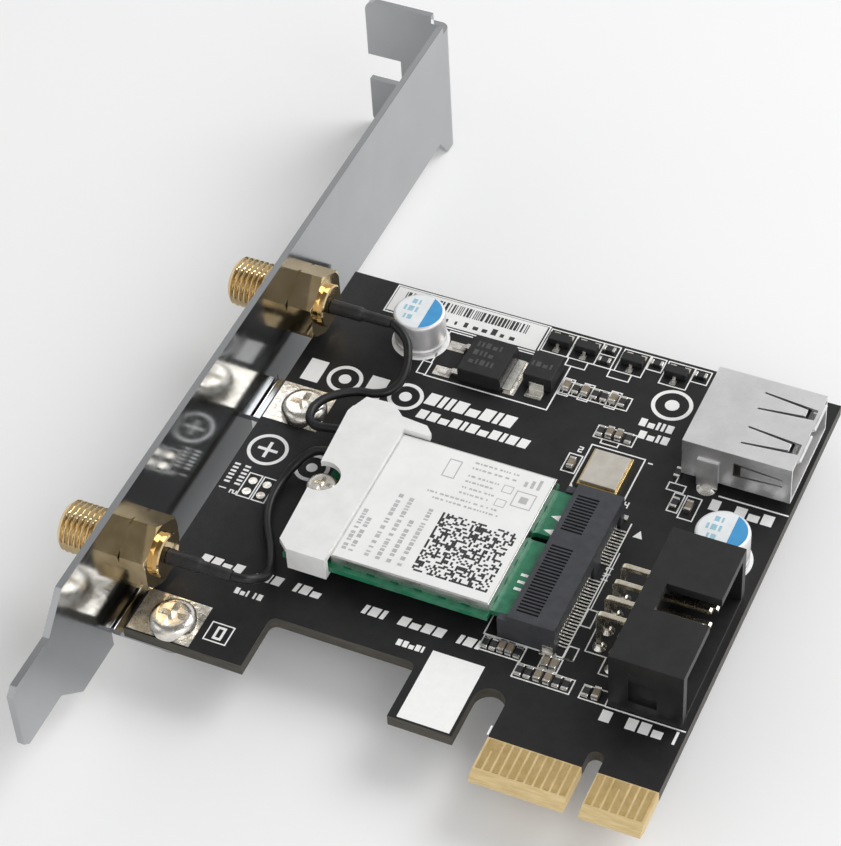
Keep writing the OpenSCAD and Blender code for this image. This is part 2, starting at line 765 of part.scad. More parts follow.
// Window and tapered spring of the shell's top, rooted at the back.
module spring_window(y) {
    polygon([[0.75, y - 1.5], [7.6, y - 0.85], [7.6, y + 0.85], [0.75, y + 1.5]]);
}

module spring_blade(y) {
    polygon([[0.75 - eps, y - 1.25], [6.4, y - 0.55], [6.4, y + 0.55], [0.75 - eps, y + 1.25]]);
}

// Window in a side wall, whose spring is rooted towards the mouth.
module side_window() {
    difference() {
        polygon([[0.6, 1.9], [6.8, 2.4], [6.8, 3.7], [0.6, 4.2]]);
        polygon([[1.6, 2.3], [6.8 + eps, 2.65], [6.8 + eps, 3.45], [1.6, 3.8]]);
    }
}

// Section of a curled lip, in X and Z, at height z.
module lip(z) {
    polygon([[usb_front, z - shell_t], [usb_front + 0.5, z + 0.05], [usb_front + 0.3, z + 0.3], [usb_front, z]]);
}

// Leg on the outside of a side wall, narrowed where it passes the board.
module usb_leg(s) {
    y = usb_leg_y(s);
    block([usb_leg_x - 1.35, y - 0.15, 0.3], [usb_leg_x + 1.35, y + 0.15, usb_lift + 3.4]);
    block([usb_leg_x - 0.6, y - 0.15, -board_t - 0.8], [usb_leg_x + 0.6, y + 0.15, 0.3 + eps]);
}

module usb_shell() {
    y0 = usb_mid - usb_w / 2;
    y1 = usb_mid + usb_w / 2;
    color([0.82, 0.82, 0.83]) {
        translate([0, 0, usb_lift]) {
            difference() {
                block([usb_back, y0, 0], [usb_front, y1, usb_h]);
                block([usb_back + shell_t, y0 + shell_t, shell_t],
                      [usb_front + 1, y1 - shell_t, usb_h - shell_t]);
                translate([0, 0, usb_h - 1]) linear_extrude(2) for (s = [-1, 1]) difference() {
                    spring_window(usb_mid + s * spring_offset);
                    spring_blade(usb_mid + s * spring_offset);
                }
                for (y = [y0, y1]) along_y(y - 0.5, y + 0.5) side_window();
                for (y = usb_contact_ys())
                    translate([usb_tail_x, y, -1]) cylinder(h = 2, r = pin_hole_r, $fn = fine);
            }
            along_y(y0 + 1.6, usb_mid - 0.5) lip(usb_h);
            along_y(usb_mid + 0.5, y1 - 1.6) lip(usb_h);
        }
        for (s = [-1, 1]) usb_leg(s);
    }
}

module usb_insulator() {
    color([0.07, 0.07, 0.08]) translate([0, 0, usb_lift]) {
        block([usb_back + shell_t, usb_mid - usb_w / 2 + shell_t, shell_t],
              [-3.2, usb_mid + usb_w / 2 - shell_t, usb_h - shell_t]);
        block([-3.2 - eps, usb_mid - 5.5, tongue_z], [6.6, usb_mid + 5.5, tongue_z + 1.85]);
    }
}

module usb_contacts() {
    color([0.85, 0.68, 0.3]) for (y = usb_contact_ys()) {
        block([-3.2, y - 0.5, usb_lift + tongue_z - 0.15], [6, y + 0.5, usb_lift + tongue_z]);
        block([usb_tail_x - 0.3, y - 0.15, -board_t - 0.8],
              [usb_tail_x + 0.3, y + 0.15, usb_lift + shell_t]);
    }
}

// ---------------------------------------------------------------- pin header

module header_shroud() {
    y0 = header_mid - shroud_len / 2;
    y1 = header_mid + shroud_len / 2;
    color([0.08, 0.08, 0.09]) difference() {
        block([shroud_back, y0, 0], [shroud_front, y1, shroud_h]);
        block([0.2, y0 + shroud_wall, shroud_wall],
              [shroud_front + 1, y1 - shroud_wall, shroud_h - shroud_wall]);
        // polarising notch in the top wall
        block([0.9, header_mid - 2, shroud_h - 2], [shroud_front + 1, header_mid + 2, shroud_h + 1]);
        // window and two mould marks in the end wall
        block([1, y0 - 1, 2], [4.4, y0 + 0.5, 5.7]);
        for (z = [7.2, 0.8])
            translate([1.5, y0 + 0.08, z]) rotate([90, 0, 0]) cylinder(h = 1, r = 0.6, $fn = fine);
        for (p = header_holes())
            block([shroud_back - 1, p[0] - pin_w / 2, p[1] - pin_w / 2],
                  [1, p[0] + pin_w / 2, p[1] + pin_w / 2]);
    }
}

// Places of the pins as [y, z, leg x]; the upper row leaves out the keyed pin.
function header_holes() = concat(
    [for (i = [-2 : 2]) [header_mid + i * pin_pitch, low_row_z, low_leg_x]],
    [for (i = [-1 : 2]) [header_mid + i * pin_pitch, low_row_z + pin_pitch, high_leg_x]]);

module header_pins() {
    h = pin_w / 2;
    foot = -board_t - 1;
    color([0.86, 0.84, 0.78]) for (p = header_holes()) along_y(p[0] - h, p[0] + h) polygon([
        [p[2] - h, foot], [p[2] + h, foot], [p[2] + h, p[1] - h], [pin_tip - 0.3, p[1] - h],
        [pin_tip, p[1] - h / 2], [pin_tip, p[1] + h / 2], [pin_tip - 0.3, p[1] + h],
        [p[2] + 0.3, p[1] + h], [p[2] - 0.1, p[1] + h - 0.15], [p[2] - h, p[1] - 0.2]]);
}

// ---------------------------------------------------------------- power parts

function cap_lead_places() =
    [for (at = [supply_cap, port_cap], s = [-1, 1]) [at[0] + s * cap_lead_pitch / 2, at[1]]];

// Rubber bung that closes the can and lets its two leads through.
module capacitor_base(at) {
    color([0.12, 0.12, 0.13]) difference() {
        translate([at[0], at[1], 0.05]) cylinder(h = bung_top - 0.05, r = bung_r, $fn = fine);
        for (p = cap_lead_places())
            translate([p[0], p[1], 0]) cylinder(h = bung_top - 0.2, r = cap_lead_r, $fn = fine);
    }
}

module capacitor_can(at) {
    color([0.85, 0.85, 0.86]) translate([at[0], at[1], 0]) rotate_extrude($fn = fine) polygon([
        [0, bung_top], [bung_r, bung_top], [bung_r, can_rim_z], [can_r - 0.15, can_rim_z],
        [can_r, can_rim_z + 0.15], [can_r, 0.8], [can_r - 0.2, 1], [can_r, 1.2],
        [can_r, can_h - 0.35], [can_r - 0.1, can_h - 0.1], [can_r - 0.35, can_h], [0, can_h]]);
}

module supply_capacitor_base() { capacitor_base(supply_cap); }
module supply_capacitor_can() { capacitor_can(supply_cap); }
module port_capacitor_base() { capacitor_base(port_cap); }
module port_capacitor_can() { capacitor_can(port_cap); }

module capacitor_leads() {
    color([0.82, 0.81, 0.77]) {
        for (p = cap_lead_places()) translate([p[0], p[1], -board_t - 1])
            cylinder(h = board_t + 1 + bung_top - 0.2, r = cap_lead_r, $fn = fine);
    }
}

module regulator_body() {
    color([0.1, 0.1, 0.11]) difference() {
        block([-37.4, 55.2, 0.1], [-31.6, 61.4, 2.3]);
        translate([-31.6, 50, 1.6]) rotate([0, -18, 0]) cube([2, 20, 3]);
    }
}

module regulator_leads() {
    color([0.82, 0.81, 0.77]) {
        along_y(55.6, 61) polygon([[-31.6, 0], [-30.4, 0], [-30.4, 0.55], [-31.6, 0.55]]);
        for (y = [56, 60.6]) along_y(y - 0.4, y + 0.4) polygon([
            [-37.4, 0.8], [-38.4, 0.8], [-39.2, 0.15], [-40.3, 0.15], [-40.3, 0],
            [-39, 0], [-38.2, 0.5], [-37.4, 0.5]]);
    }
}

module diode_body() {
    color([0.1, 0.1, 0.11]) block([-29.5, 57.4, 0.1], [-25.7, 61.8, 2.2]);
}

module diode_leads() {
    color([0.84, 0.83, 0.8]) for (s = [-1, 1]) {
        end = s > 0 ? 61.8 : 57.4;
        block([-28.6, min(end, end + s * 0.2), 0.1], [-26.6, max(end, end + s * 0.2), 1.2]);
        block([-28.6, min(end, end + s * 1.2), 0], [-26.6, max(end, end + s * 1.2), 0.1]);
    }
}

module transistor_bodies() {
    color([0.1, 0.1, 0.11]) for (at = transistors)
        block([at[0] - 1.45, at[1] - 0.65, 0.08], [at[0] + 1.45, at[1] + 0.65, 1.05]);
}

// A gull-wing lead that leaves a body at y and steps down over dir * 0.6.
module gull_lead(x, y, dir) {
    translate([x + 0.2, y, 0]) rotate([90, 0, -90]) linear_extrude(0.4) scale([dir, 1])
        polygon([[0, 0.55], [0.2, 0.55], [0.35, 0.12], [0.6, 0.12], [0.6, 0], [0.22, 0], [0.08, 0.42], [0, 0.42]]);
}

module transistor_leads() {
    color([0.84, 0.83, 0.8]) for (at = transistors) {
        gull_lead(at[0], at[1] - 0.65, 1);
        gull_lead(at[0] - 0.95, at[1] + 0.65, -1);
        gull_lead(at[0] + 0.95, at[1] + 0.65, -1);
    }
}

module crystal_base() {
    color([0.8, 0.65, 0.35]) block([-17, 44.1, 0], [-11.9, 50.2, 0.75]);
}

module crystal_lid() {
    color([0.86, 0.84, 0.82]) block([-16.75, 44.4, 0.75], [-12.15, 49.9, 1.15]);
}

// A chip's own frame: its middle on the board, turned by quarter turns.
module at_chip(p) {
    translate([p[0], p[1], 0]) rotate([0, 0, 90 * p[2]]) children();
}

module chip_core(h) {
    block([terminal_l - chip_l / 2, -chip_w / 2, 0], [chip_l / 2 - terminal_l, chip_w / 2, h]);
}

module chip_resistors() {
    color([0.08, 0.08, 0.09]) for (p = resistors) at_chip(p) chip_core(chip_h);
}

module chip_capacitors() {
    color([0.62, 0.5, 0.36]) for (p = ceramics) at_chip(p) chip_core(0.75);
}

module chip_ends(h) {
    for (s = [-1, 1]) translate([s * (chip_l - terminal_l) / 2, 0, h / 2])
        cube([terminal_l, chip_w, h], center = true);
}

module chip_terminals() {
    color([0.85, 0.85, 0.84]) {
        for (p = resistors) at_chip(p) chip_ends(chip_h);
        for (p = ceramics) at_chip(p) chip_ends(0.75);
    }
}

module serial_label() {
    color([0.95, 0.95, 0.95]) block([-51, 63.6, 0], [-30.4, 68, skin]);
}

// A cone of solder about a leg of size w by d, on the given sides of the board.
module solder_cone(x, y, w, d, r, h, sides = [1, -1]) {
    for (side = sides) translate([x, y, side > 0 ? 0 : -board_t]) scale([1, 1, side]) difference() {
        rotate_extrude($fn = fine) polygon([[0, 0], [r, 0], [r * 0.8, h * 0.35], [r * 0.55, h], [0, h]]);
        translate([-w / 2, -d / 2, -1]) cube([w, d, 4]);
    }
}

module solder_joints() {
    color([0.85, 0.84, 0.82]) {
        for (s = [-1, 1]) solder_cone(usb_leg_x, usb_leg_y(s), 1.2, 0.3, 1.25, 0.29);
        for (p = header_holes()) solder_cone(p[2], p[0], pin_w, pin_w, 0.85, 0.5);
        for (y = usb_contact_ys()) solder_cone(usb_tail_x, y, 0.6, 0.3, 0.8, 0.5);
        for (p = cap_lead_places()) solder_cone(p[0], p[1], 2 * cap_lead_r, 2 * cap_lead_r, 0.8, 0.5, [-1]);
    }
}

circuit_board();
edge_contacts_front();
edge_contacts_back();
mounting_pads();
test_pads();
bracket();
upper_bracket_screw();
lower_bracket_screw();
upper_jack_body();
upper_jack_insulator();
upper_jack_pin();
upper_lock_washer();
upper_jack_nut();
upper_jack_sleeve();
upper_pigtail();
upper_coax_plug();
lower_jack_body();
lower_jack_insulator();
lower_jack_pin();
lower_lock_washer();
lower_jack_nut();
lower_jack_sleeve();
lower_pigtail();
lower_coax_plug();
antenna_clip();
module_board();
module_contacts();
module_sockets();
module_chips();
module_shield();
module_label();
standoff();
module_screw();
slot_connector_body();
slot_connector_contacts();
slot_connector_pegs();
usb_shell();
usb_insulator();
usb_contacts();
header_shroud();
header_pins();
supply_capacitor_base();
supply_capacitor_can();
port_capacitor_base();
port_capacitor_can();
capacitor_leads();
regulator_body();
regulator_leads();
diode_body();
diode_leads();
transistor_bodies();
transistor_leads();
crystal_base();
crystal_lid();
chip_resistors();
chip_capacitors();
chip_terminals();
serial_label();
solder_joints();
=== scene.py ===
"""Looks of the wireless adapter card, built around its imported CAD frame."""

import json
import math
import random

import bmesh
import bpy
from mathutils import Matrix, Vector


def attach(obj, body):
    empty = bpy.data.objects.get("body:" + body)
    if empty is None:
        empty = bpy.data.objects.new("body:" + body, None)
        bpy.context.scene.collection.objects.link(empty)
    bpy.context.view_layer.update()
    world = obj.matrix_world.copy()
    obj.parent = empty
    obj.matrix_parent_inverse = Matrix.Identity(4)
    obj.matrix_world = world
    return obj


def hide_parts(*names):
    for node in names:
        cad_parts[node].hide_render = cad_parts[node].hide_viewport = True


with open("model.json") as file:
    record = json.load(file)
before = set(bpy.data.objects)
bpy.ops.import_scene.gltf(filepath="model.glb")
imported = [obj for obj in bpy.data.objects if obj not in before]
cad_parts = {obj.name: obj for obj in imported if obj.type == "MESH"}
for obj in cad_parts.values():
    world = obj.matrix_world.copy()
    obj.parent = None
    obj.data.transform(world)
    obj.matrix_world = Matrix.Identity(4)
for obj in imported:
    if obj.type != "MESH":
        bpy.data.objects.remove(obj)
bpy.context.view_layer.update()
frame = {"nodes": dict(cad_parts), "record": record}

MM = 0.001
CARD = "card"
INK_Z = 0.03  # height of printed ink above the board
EDGE_ANGLE = 34  # edges sharper than this, in degrees, are rounded
SHADE_ANGLE = 20  # edges sharper than this, in degrees, stay crisp

# ------------------------------------------------------------------ camera


def add_camera():
    """Camera at the photograph's viewing angle."""
    data = bpy.data.cameras.new("camera")
    data.sensor_width = 36
    data.lens = 122.43
    data.clip_start = 0.01
    data.clip_end = 10
    cam = bpy.data.objects.new("camera", data)
    bpy.context.scene.collection.objects.link(cam)
    cam.location = Vector((70.97, -170.43, 256.75)) * MM
    cam.rotation_euler = [math.radians(a) for a in (43.413, 2.609, 24.031)]
    bpy.context.scene.camera = cam


# ------------------------------------------------------------------ materials


def new_material(name):
    """An empty node material: its node tree and its Principled shader."""
    mat = bpy.data.materials.new(name)
    mat.use_nodes = True
    tree = mat.node_tree
    tree.nodes.clear()
    out = tree.nodes.new("ShaderNodeOutputMaterial")
    shader = tree.nodes.new("ShaderNodeBsdfPrincipled")
    tree.links.new(shader.outputs[0], out.inputs[0])
    return mat, tree, shader


def millimetres(tree, stretch=(1, 1, 1)):
    """Object coordinates in millimetres, stretched along each axis."""
    place = tree.nodes.new("ShaderNodeTexCoord")
    scale = tree.nodes.new("ShaderNodeMapping")
    scale.inputs["Scale"].default_value = [1000 * s for s in stretch]
    tree.links.new(place.outputs["Object"], scale.inputs["Vector"])
    return scale.outputs["Vector"]


def noise(tree, vector, per_mm, detail=4, rough=0.6):
    node = tree.nodes.new("ShaderNodeTexNoise")
    node.inputs["Scale"].default_value = per_mm
    node.inputs["Detail"].default_value = detail
    node.inputs["Roughness"].default_value = rough
    tree.links.new(vector, node.inputs["Vector"])
    return node.outputs["Fac"]


def remap(tree, value, low, high, start=0.3, end=0.7):
    node = tree.nodes.new("ShaderNodeMapRange")
    node.inputs["From Min"].default_value = start
    node.inputs["From Max"].default_value = end
    node.inputs["To Min"].default_value = low
    node.inputs["To Max"].default_value = high
    tree.links.new(value, node.inputs["Value"])
    return node.outputs["Result"]


def blend_colours(tree, factor, first, second):
    """Mixes two colours; each is a plain colour or another node's output."""
    node = tree.nodes.new("ShaderNodeMix")
    node.data_type = "RGBA"
    tree.links.new(factor, node.inputs["Factor"])
    for name, colour in (("A", first), ("B", second)):
        socket = [s for s in node.inputs if s.name == name and s.type == "RGBA"][0]
        if isinstance(colour, tuple):
            socket.default_value = (*colour, 1)
        else:
            tree.links.new(colour, socket)
    return [s for s in node.outputs if s.type == "RGBA"][0]


def add_bump(tree, shader, height, depth_mm):
    node = tree.nodes.new("ShaderNodeBump")
    node.inputs["Strength"].default_value = 1.0
    node.inputs["Distance"].default_value = depth_mm * MM
    tree.links.new(height, node.inputs["Height"])
    tree.links.new(node.outputs["Normal"], shader.inputs["Normal"])


def surface(name, dark, light, rough, metal=0.0, patch=0.6, grain=8.0, depth=0.01,
            stretch=(1, 1, 1), coat=0.0, shine=0.5):
    """A finish whose colour drifts in patches and whose fine grain shows in gloss and relief."""
    mat, tree, shader = new_material(name)
    plain = millimetres(tree)
    drift = noise(tree, plain, patch, 5)
    fine = noise(tree, millimetres(tree, stretch), grain, 6, 0.65)
    colour = blend_colours(tree, remap(tree, drift, 0, 1), dark, light)
    tree.links.new(colour, shader.inputs["Base Color"])
    tree.links.new(remap(tree, fine, rough[0], rough[1]), shader.inputs["Roughness"])
    shader.inputs["Metallic"].default_value = metal
    shader.inputs["Specular IOR Level"].default_value = shine
    shader.inputs["Coat Weight"].default_value = coat
    shader.inputs["Coat Roughness"].default_value = 0.15
    add_bump(tree, shader, fine, depth)
    return mat


def compare(tree, value, limit, operation):
    """One where the value passes the limit, otherwise nought."""
    node = tree.nodes.new("ShaderNodeMath")
    node.operation = operation
    node.inputs[1].default_value = limit
    tree.links.new(value, node.inputs[0])
    return node.outputs[0]


def both_of(tree, first, second):
    node = tree.nodes.new("ShaderNodeMath")
    node.operation = "MULTIPLY"
    tree.links.new(first, node.inputs[0])
    tree.links.new(second, node.inputs[1])
    return node.outputs[0]


def board_material():
    """Satin solder mask on the faces, glass laminate on the cut edges and around the contacts."""
    mat, tree, shader = new_material("solder_mask")
    mm = millimetres(tree)
    place = tree.nodes.new("ShaderNodeTexCoord")
    split = tree.nodes.new("ShaderNodeSeparateXYZ")
    tree.links.new(place.outputs["Normal"], split.inputs[0])
    side = tree.nodes.new("ShaderNodeMath")
    side.operation = "ABSOLUTE"
    tree.links.new(split.outputs["Z"], side.inputs[0])
    flat = remap(tree, side.outputs[0], 0, 1, 0.6, 0.9)
    drift = noise(tree, mm, 0.35, 5)
    mask = blend_colours(tree, remap(tree, drift, 0, 1), (0.011, 0.011, 0.012), (0.018, 0.018, 0.019))
    layers = noise(tree, millimetres(tree, (0.3, 0.3, 9)), 1.2, 3)
    cut = blend_colours(tree, remap(tree, layers, 0, 1), (0.03, 0.028, 0.022), (0.10, 0.09, 0.07))
    outside = blend_colours(tree, flat, cut, mask)
    where = tree.nodes.new("ShaderNodeSeparateXYZ")
    tree.links.new(mm, where.inputs[0])
    tongue = both_of(tree, compare(tree, where.outputs["X"], -12.2, "GREATER_THAN"),
                     compare(tree, where.outputs["Y"], 5.75, "LESS_THAN"))
    resin = blend_colours(tree, remap(tree, layers, 0, 1), (0.58, 0.43, 0.20), (0.76, 0.60, 0.33))
    tree.links.new(blend_colours(tree, tongue, outside, resin), shader.inputs["Base Color"])
    weave = noise(tree, mm, 3.5, 6)
    tree.links.new(remap(tree, weave, 0.42, 0.55), shader.inputs["Roughness"])
    shader.inputs["Specular IOR Level"].default_value = 0.28
    add_bump(tree, shader, weave, 0.012)
    return mat


def solder_material():
    """Hand-levelled tin with warm flux stains and a lumpy skin."""
    mat, tree, shader = new_material("tinned_copper")
    mm = millimetres(tree)
    lumps = noise(tree, mm, 0.9, 3)
    stains = noise(tree, mm, 1.7, 6, 0.7)
    tin = blend_colours(tree, remap(tree, lumps, 0, 1), (0.62, 0.58, 0.50), (0.90, 0.88, 0.83))
    both = blend_colours(tree, remap(tree, stains, 0, 0.55, 0.5, 0.72), tin, (0.42, 0.30, 0.16))
    tree.links.new(both, shader.inputs["Base Color"])
    tree.links.new(remap(tree, stains, 0.18, 0.42), shader.inputs["Roughness"])
    shader.inputs["Metallic"].default_value = 0.85
    add_bump(tree, shader, lumps, 0.12)
    return mat


MATERIALS = {
    "solder_mask": board_material(),
    "tinned_copper": solder_material(),
    "contact_gold": surface("contact_gold", (0.62, 0.44, 0.18), (0.76, 0.56, 0.27), (0.28, 0.42), 1,
                            0.8, 6, 0.008, (6, 0.5, 1)),
    "bracket_steel": surface("bracket_steel", (0.40, 0.41, 0.42), (0.46, 0.47, 0.48), (0.09, 0.17), 1,
                             0.05, 1.1, 0.003, (1, 0.25, 1)),
    "plated_screw": surface("plated_screw", (0.66, 0.61, 0.53), (0.92, 0.90, 0.85), (0.14, 0.3), 1,
                            1.2, 5, 0.02),
    "white_nylon": surface("white_nylon", (0.80, 0.80, 0.79), (0.88, 0.88, 0.87), (0.34, 0.5), 0,
                           0.4, 5, 0.012),
    "module_laminate": surface("module_laminate", (0.012, 0.14, 0.07), (0.025, 0.24, 0.12),
                               (0.25, 0.4), 0, 0.9, 6, 0.012, (1, 1, 1), 0.3),
    "moulding_compound": surface("moulding_compound", (0.013, 0.013, 0.014), (0.022, 0.022, 0.023),
                                 (0.45, 0.62), 0, 0.8, 14, 0.012, (1, 1, 1), 0, 0.35),
    "shield_tin": surface("shield_tin", (0.60, 0.60, 0.58), (0.76, 0.76, 0.74), (0.24, 0.4), 1,
                          0.4, 5, 0.01, (0.4, 4, 1)),
    "label_film": surface("label_film", (0.86, 0.86, 0.85), (0.92, 0.92, 0.91), (0.3, 0.42), 0,
                          0.3, 4, 0.006),
    "slot_plastic": surface("slot_plastic", (0.036, 0.037, 0.043), (0.052, 0.054, 0.062), (0.42, 0.58),
                            0, 0.7, 11, 0.012, (1, 1, 1), 0, 0.4),
    "lead_tin": surface("lead_tin", (0.66, 0.64, 0.58), (0.90, 0.89, 0.85), (0.18, 0.36), 1,
                        1.5, 7, 0.012),
    "usb_steel": surface("usb_steel", (0.74, 0.74, 0.74), (0.86, 0.86, 0.86), (0.26, 0.4), 0.9,
                         0.25, 6, 0.008, (0.4, 3, 1)),
    "port_plastic": surface("port_plastic", (0.009, 0.009, 0.010), (0.016, 0.016, 0.017), (0.34, 0.48),
                            0, 0.5, 9, 0.01, (1, 1, 1), 0, 0.38),
    "pin_tin": surface("pin_tin", (0.70, 0.62, 0.45), (0.92, 0.87, 0.76), (0.14, 0.3), 1, 1.1, 6, 0.01),
    "capacitor_plastic": surface("capacitor_plastic", (0.016, 0.016, 0.017), (0.028, 0.028, 0.03),
                                 (0.38, 0.55), 0, 0.8, 10, 0.012),
    "capacitor_aluminium": surface("capacitor_aluminium", (0.78, 0.77, 0.78), (0.88, 0.87, 0.88),
                                   (0.42, 0.55), 0.7, 0.5, 6, 0.008, (1, 1, 6)),
    "crystal_ceramic": surface("crystal_ceramic", (0.50, 0.36, 0.14), (0.76, 0.60, 0.30), (0.25, 0.4), 1,
                               1.2, 8, 0.01),
    "crystal_cover": surface("crystal_cover", (0.58, 0.54, 0.47), (0.70, 0.66, 0.60), (0.42, 0.56), 0.9,
                             0.5, 7, 0.008),
    "resistor_glaze": surface("resistor_glaze", (0.018, 0.018, 0.02), (0.032, 0.032, 0.035), (0.2, 0.36),
                              0, 1, 9, 0.01),
    "capacitor_ceramic": surface("capacitor_ceramic", (0.19, 0.15, 0.11), (0.30, 0.25, 0.18),
                                 (0.4, 0.6), 0, 1.5, 10, 0.012),
    "jack_gold": surface("jack_gold", (0.60, 0.44, 0.22), (0.82, 0.64, 0.38), (0.05, 0.13), 1,
                         0.3, 3, 0.002),
    "jack_dielectric": surface("jack_dielectric", (0.78, 0.77, 0.72), (0.86, 0.85, 0.81), (0.35, 0.5), 0,
                               0.8, 8, 0.01),
    "sleeve_plastic": surface("sleeve_plastic", (0.012, 0.012, 0.013), (0.024, 0.024, 0.026),
                              (0.34, 0.5), 0, 1, 4, 0.05, (3, 1, 1), 0, 0.4),
    "coax_jacket": surface("coax_jacket", (0.008, 0.008, 0.009), (0.014, 0.014, 0.015), (0.3, 0.42), 0,
                           0.6, 6, 0.01, (1, 1, 1), 0, 0.4),
    "plug_gold": surface("plug_gold", (0.62, 0.50, 0.28), (0.85, 0.76, 0.56), (0.18, 0.32), 1,
                         1.2, 6, 0.01),
    "ink_white": surface("ink_white", (0.94, 0.94, 0.93), (0.99, 0.99, 0.98), (0.5, 0.7), 0, 1, 12, 0.006),
    "ink_grey": surface("ink_grey", (0.44, 0.44, 0.44), (0.56, 0.56, 0.56), (0.45, 0.6), 0, 1, 9, 0.004),
    "ink_black": surface("ink_black", (0.018, 0.018, 0.018), (0.04, 0.04, 0.04), (0.4, 0.6), 0,
                         1, 9, 0.004),
    "part_grey": surface("part_grey", (0.05, 0.05, 0.05), (0.08, 0.08, 0.08), (0.5, 0.65), 0, 1, 9, 0.004),
    "cap_white": surface("cap_white", (0.80, 0.83, 0.85), (0.90, 0.92, 0.93), (0.26, 0.4), 0,
                         0.6, 7, 0.006),
    "cap_blue": surface("cap_blue", (0.045, 0.30, 0.62), (0.07, 0.36, 0.70), (0.3, 0.42), 0,
                        0.6, 7, 0.006),
    "cap_print": surface("cap_print", (0.28, 0.52, 0.64), (0.40, 0.62, 0.72), (0.35, 0.5), 0,
                         1, 8, 0.004),
}

# ------------------------------------------------------------------ mesh helpers


def finish_piece(obj, material, body=CARD, hides=(), sharp=34):
    """Gives a piece its material, its shading and its place in the frame."""
    obj.data.materials.clear()
    obj.data.materials.append(MATERIALS[material])
    if obj.type == "MESH":
        obj.data.shade_smooth()
        obj.data.set_sharp_from_angle(angle=math.radians(sharp))
    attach(obj, body)
    if hides:
        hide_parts(*hides)
    return obj


def object_from(name, mesh_data):
    obj = bpy.data.objects.new(name, mesh_data)
    bpy.context.scene.collection.objects.link(obj)
    return obj


def mesh_object(name, points, faces):
    """A mesh object from points in millimetres."""
    data = bpy.data.meshes.new(name)
    data.from_pydata([Vector(p) * MM for p in points], [], faces)
    data.update()
    work = bmesh.new()
    work.from_mesh(data)
    bmesh.ops.recalc_face_normals(work, faces=work.faces)
    work.to_mesh(data)
    work.free()
    return object_from(name, data)


def body_of_node(node):
    for body, nodes in frame["record"]["behaviour"]["bodies"].items():
        if node in nodes:
            return body
    return CARD


def refine(node, material, bevel=0.0, segments=2, record_slot=None):
    """A cleaned copy of a CAD node with welded faces and rounded edges."""
    work = bmesh.new()
    work.from_mesh(frame["nodes"][node].data)
    bmesh.ops.remove_doubles(work, verts=work.verts, dist=2e-7)
    bmesh.ops.dissolve_limit(work, angle_limit=math.radians(0.3), verts=work.verts, edges=work.edges)
    if bevel:
        corners = [e for e in work.edges if len(e.link_faces) == 2
                   and e.calc_face_angle(0) > math.radians(EDGE_ANGLE)]
        bmesh.ops.bevel(work, geom=corners, offset=bevel * MM, segments=segments, profile=0.6,
                        affect="EDGES", clamp_overlap=True)
    bmesh.ops.recalc_face_normals(work, faces=work.faces)
    data = bpy.data.meshes.new(node + "_skin")
    work.to_mesh(data)
    work.free()
    obj = object_from(node + "_skin", data)
    finish_piece(obj, material, body_of_node(node), (node,),
                 SHADE_ANGLE)
    even = obj.modifiers.new("even_shading", "WEIGHTED_NORMAL")
    even.keep_sharp = True
    even.weight = 100
    return obj


def turned(name, along, centre, profile, count, closed=False):
    """Rings about an axis through centre. The profile lists (position, radius), where a radius
    may be a function of the ring's angle and position; a closed profile ends where it began."""
    points = []
    for place, radius in profile:
        for k in range(count):
            angle = 2 * math.pi * k / count
            r = radius(angle, place) if callable(radius) else radius
            u = r * math.cos(angle)
            v = r * math.sin(angle)
            if along == "x":
                points.append((place, centre[1] + u, centre[2] + v))
            else:
                points.append((centre[0] + u, centre[1] + v, centre[2] + place))
    faces = []
    rings = len(profile)
    for i in range(rings if closed else rings - 1):
        j = (i + 1) % rings
        for k in range(count):
            m = (k + 1) % count
            faces.append((i * count + k, i * count + m, j * count + m, j * count + k))
    if not closed:
        faces.append(tuple(range(count)))
        faces.append(tuple((rings - 1) * count + k for k in range(count)))
    return mesh_object(name, points, faces)


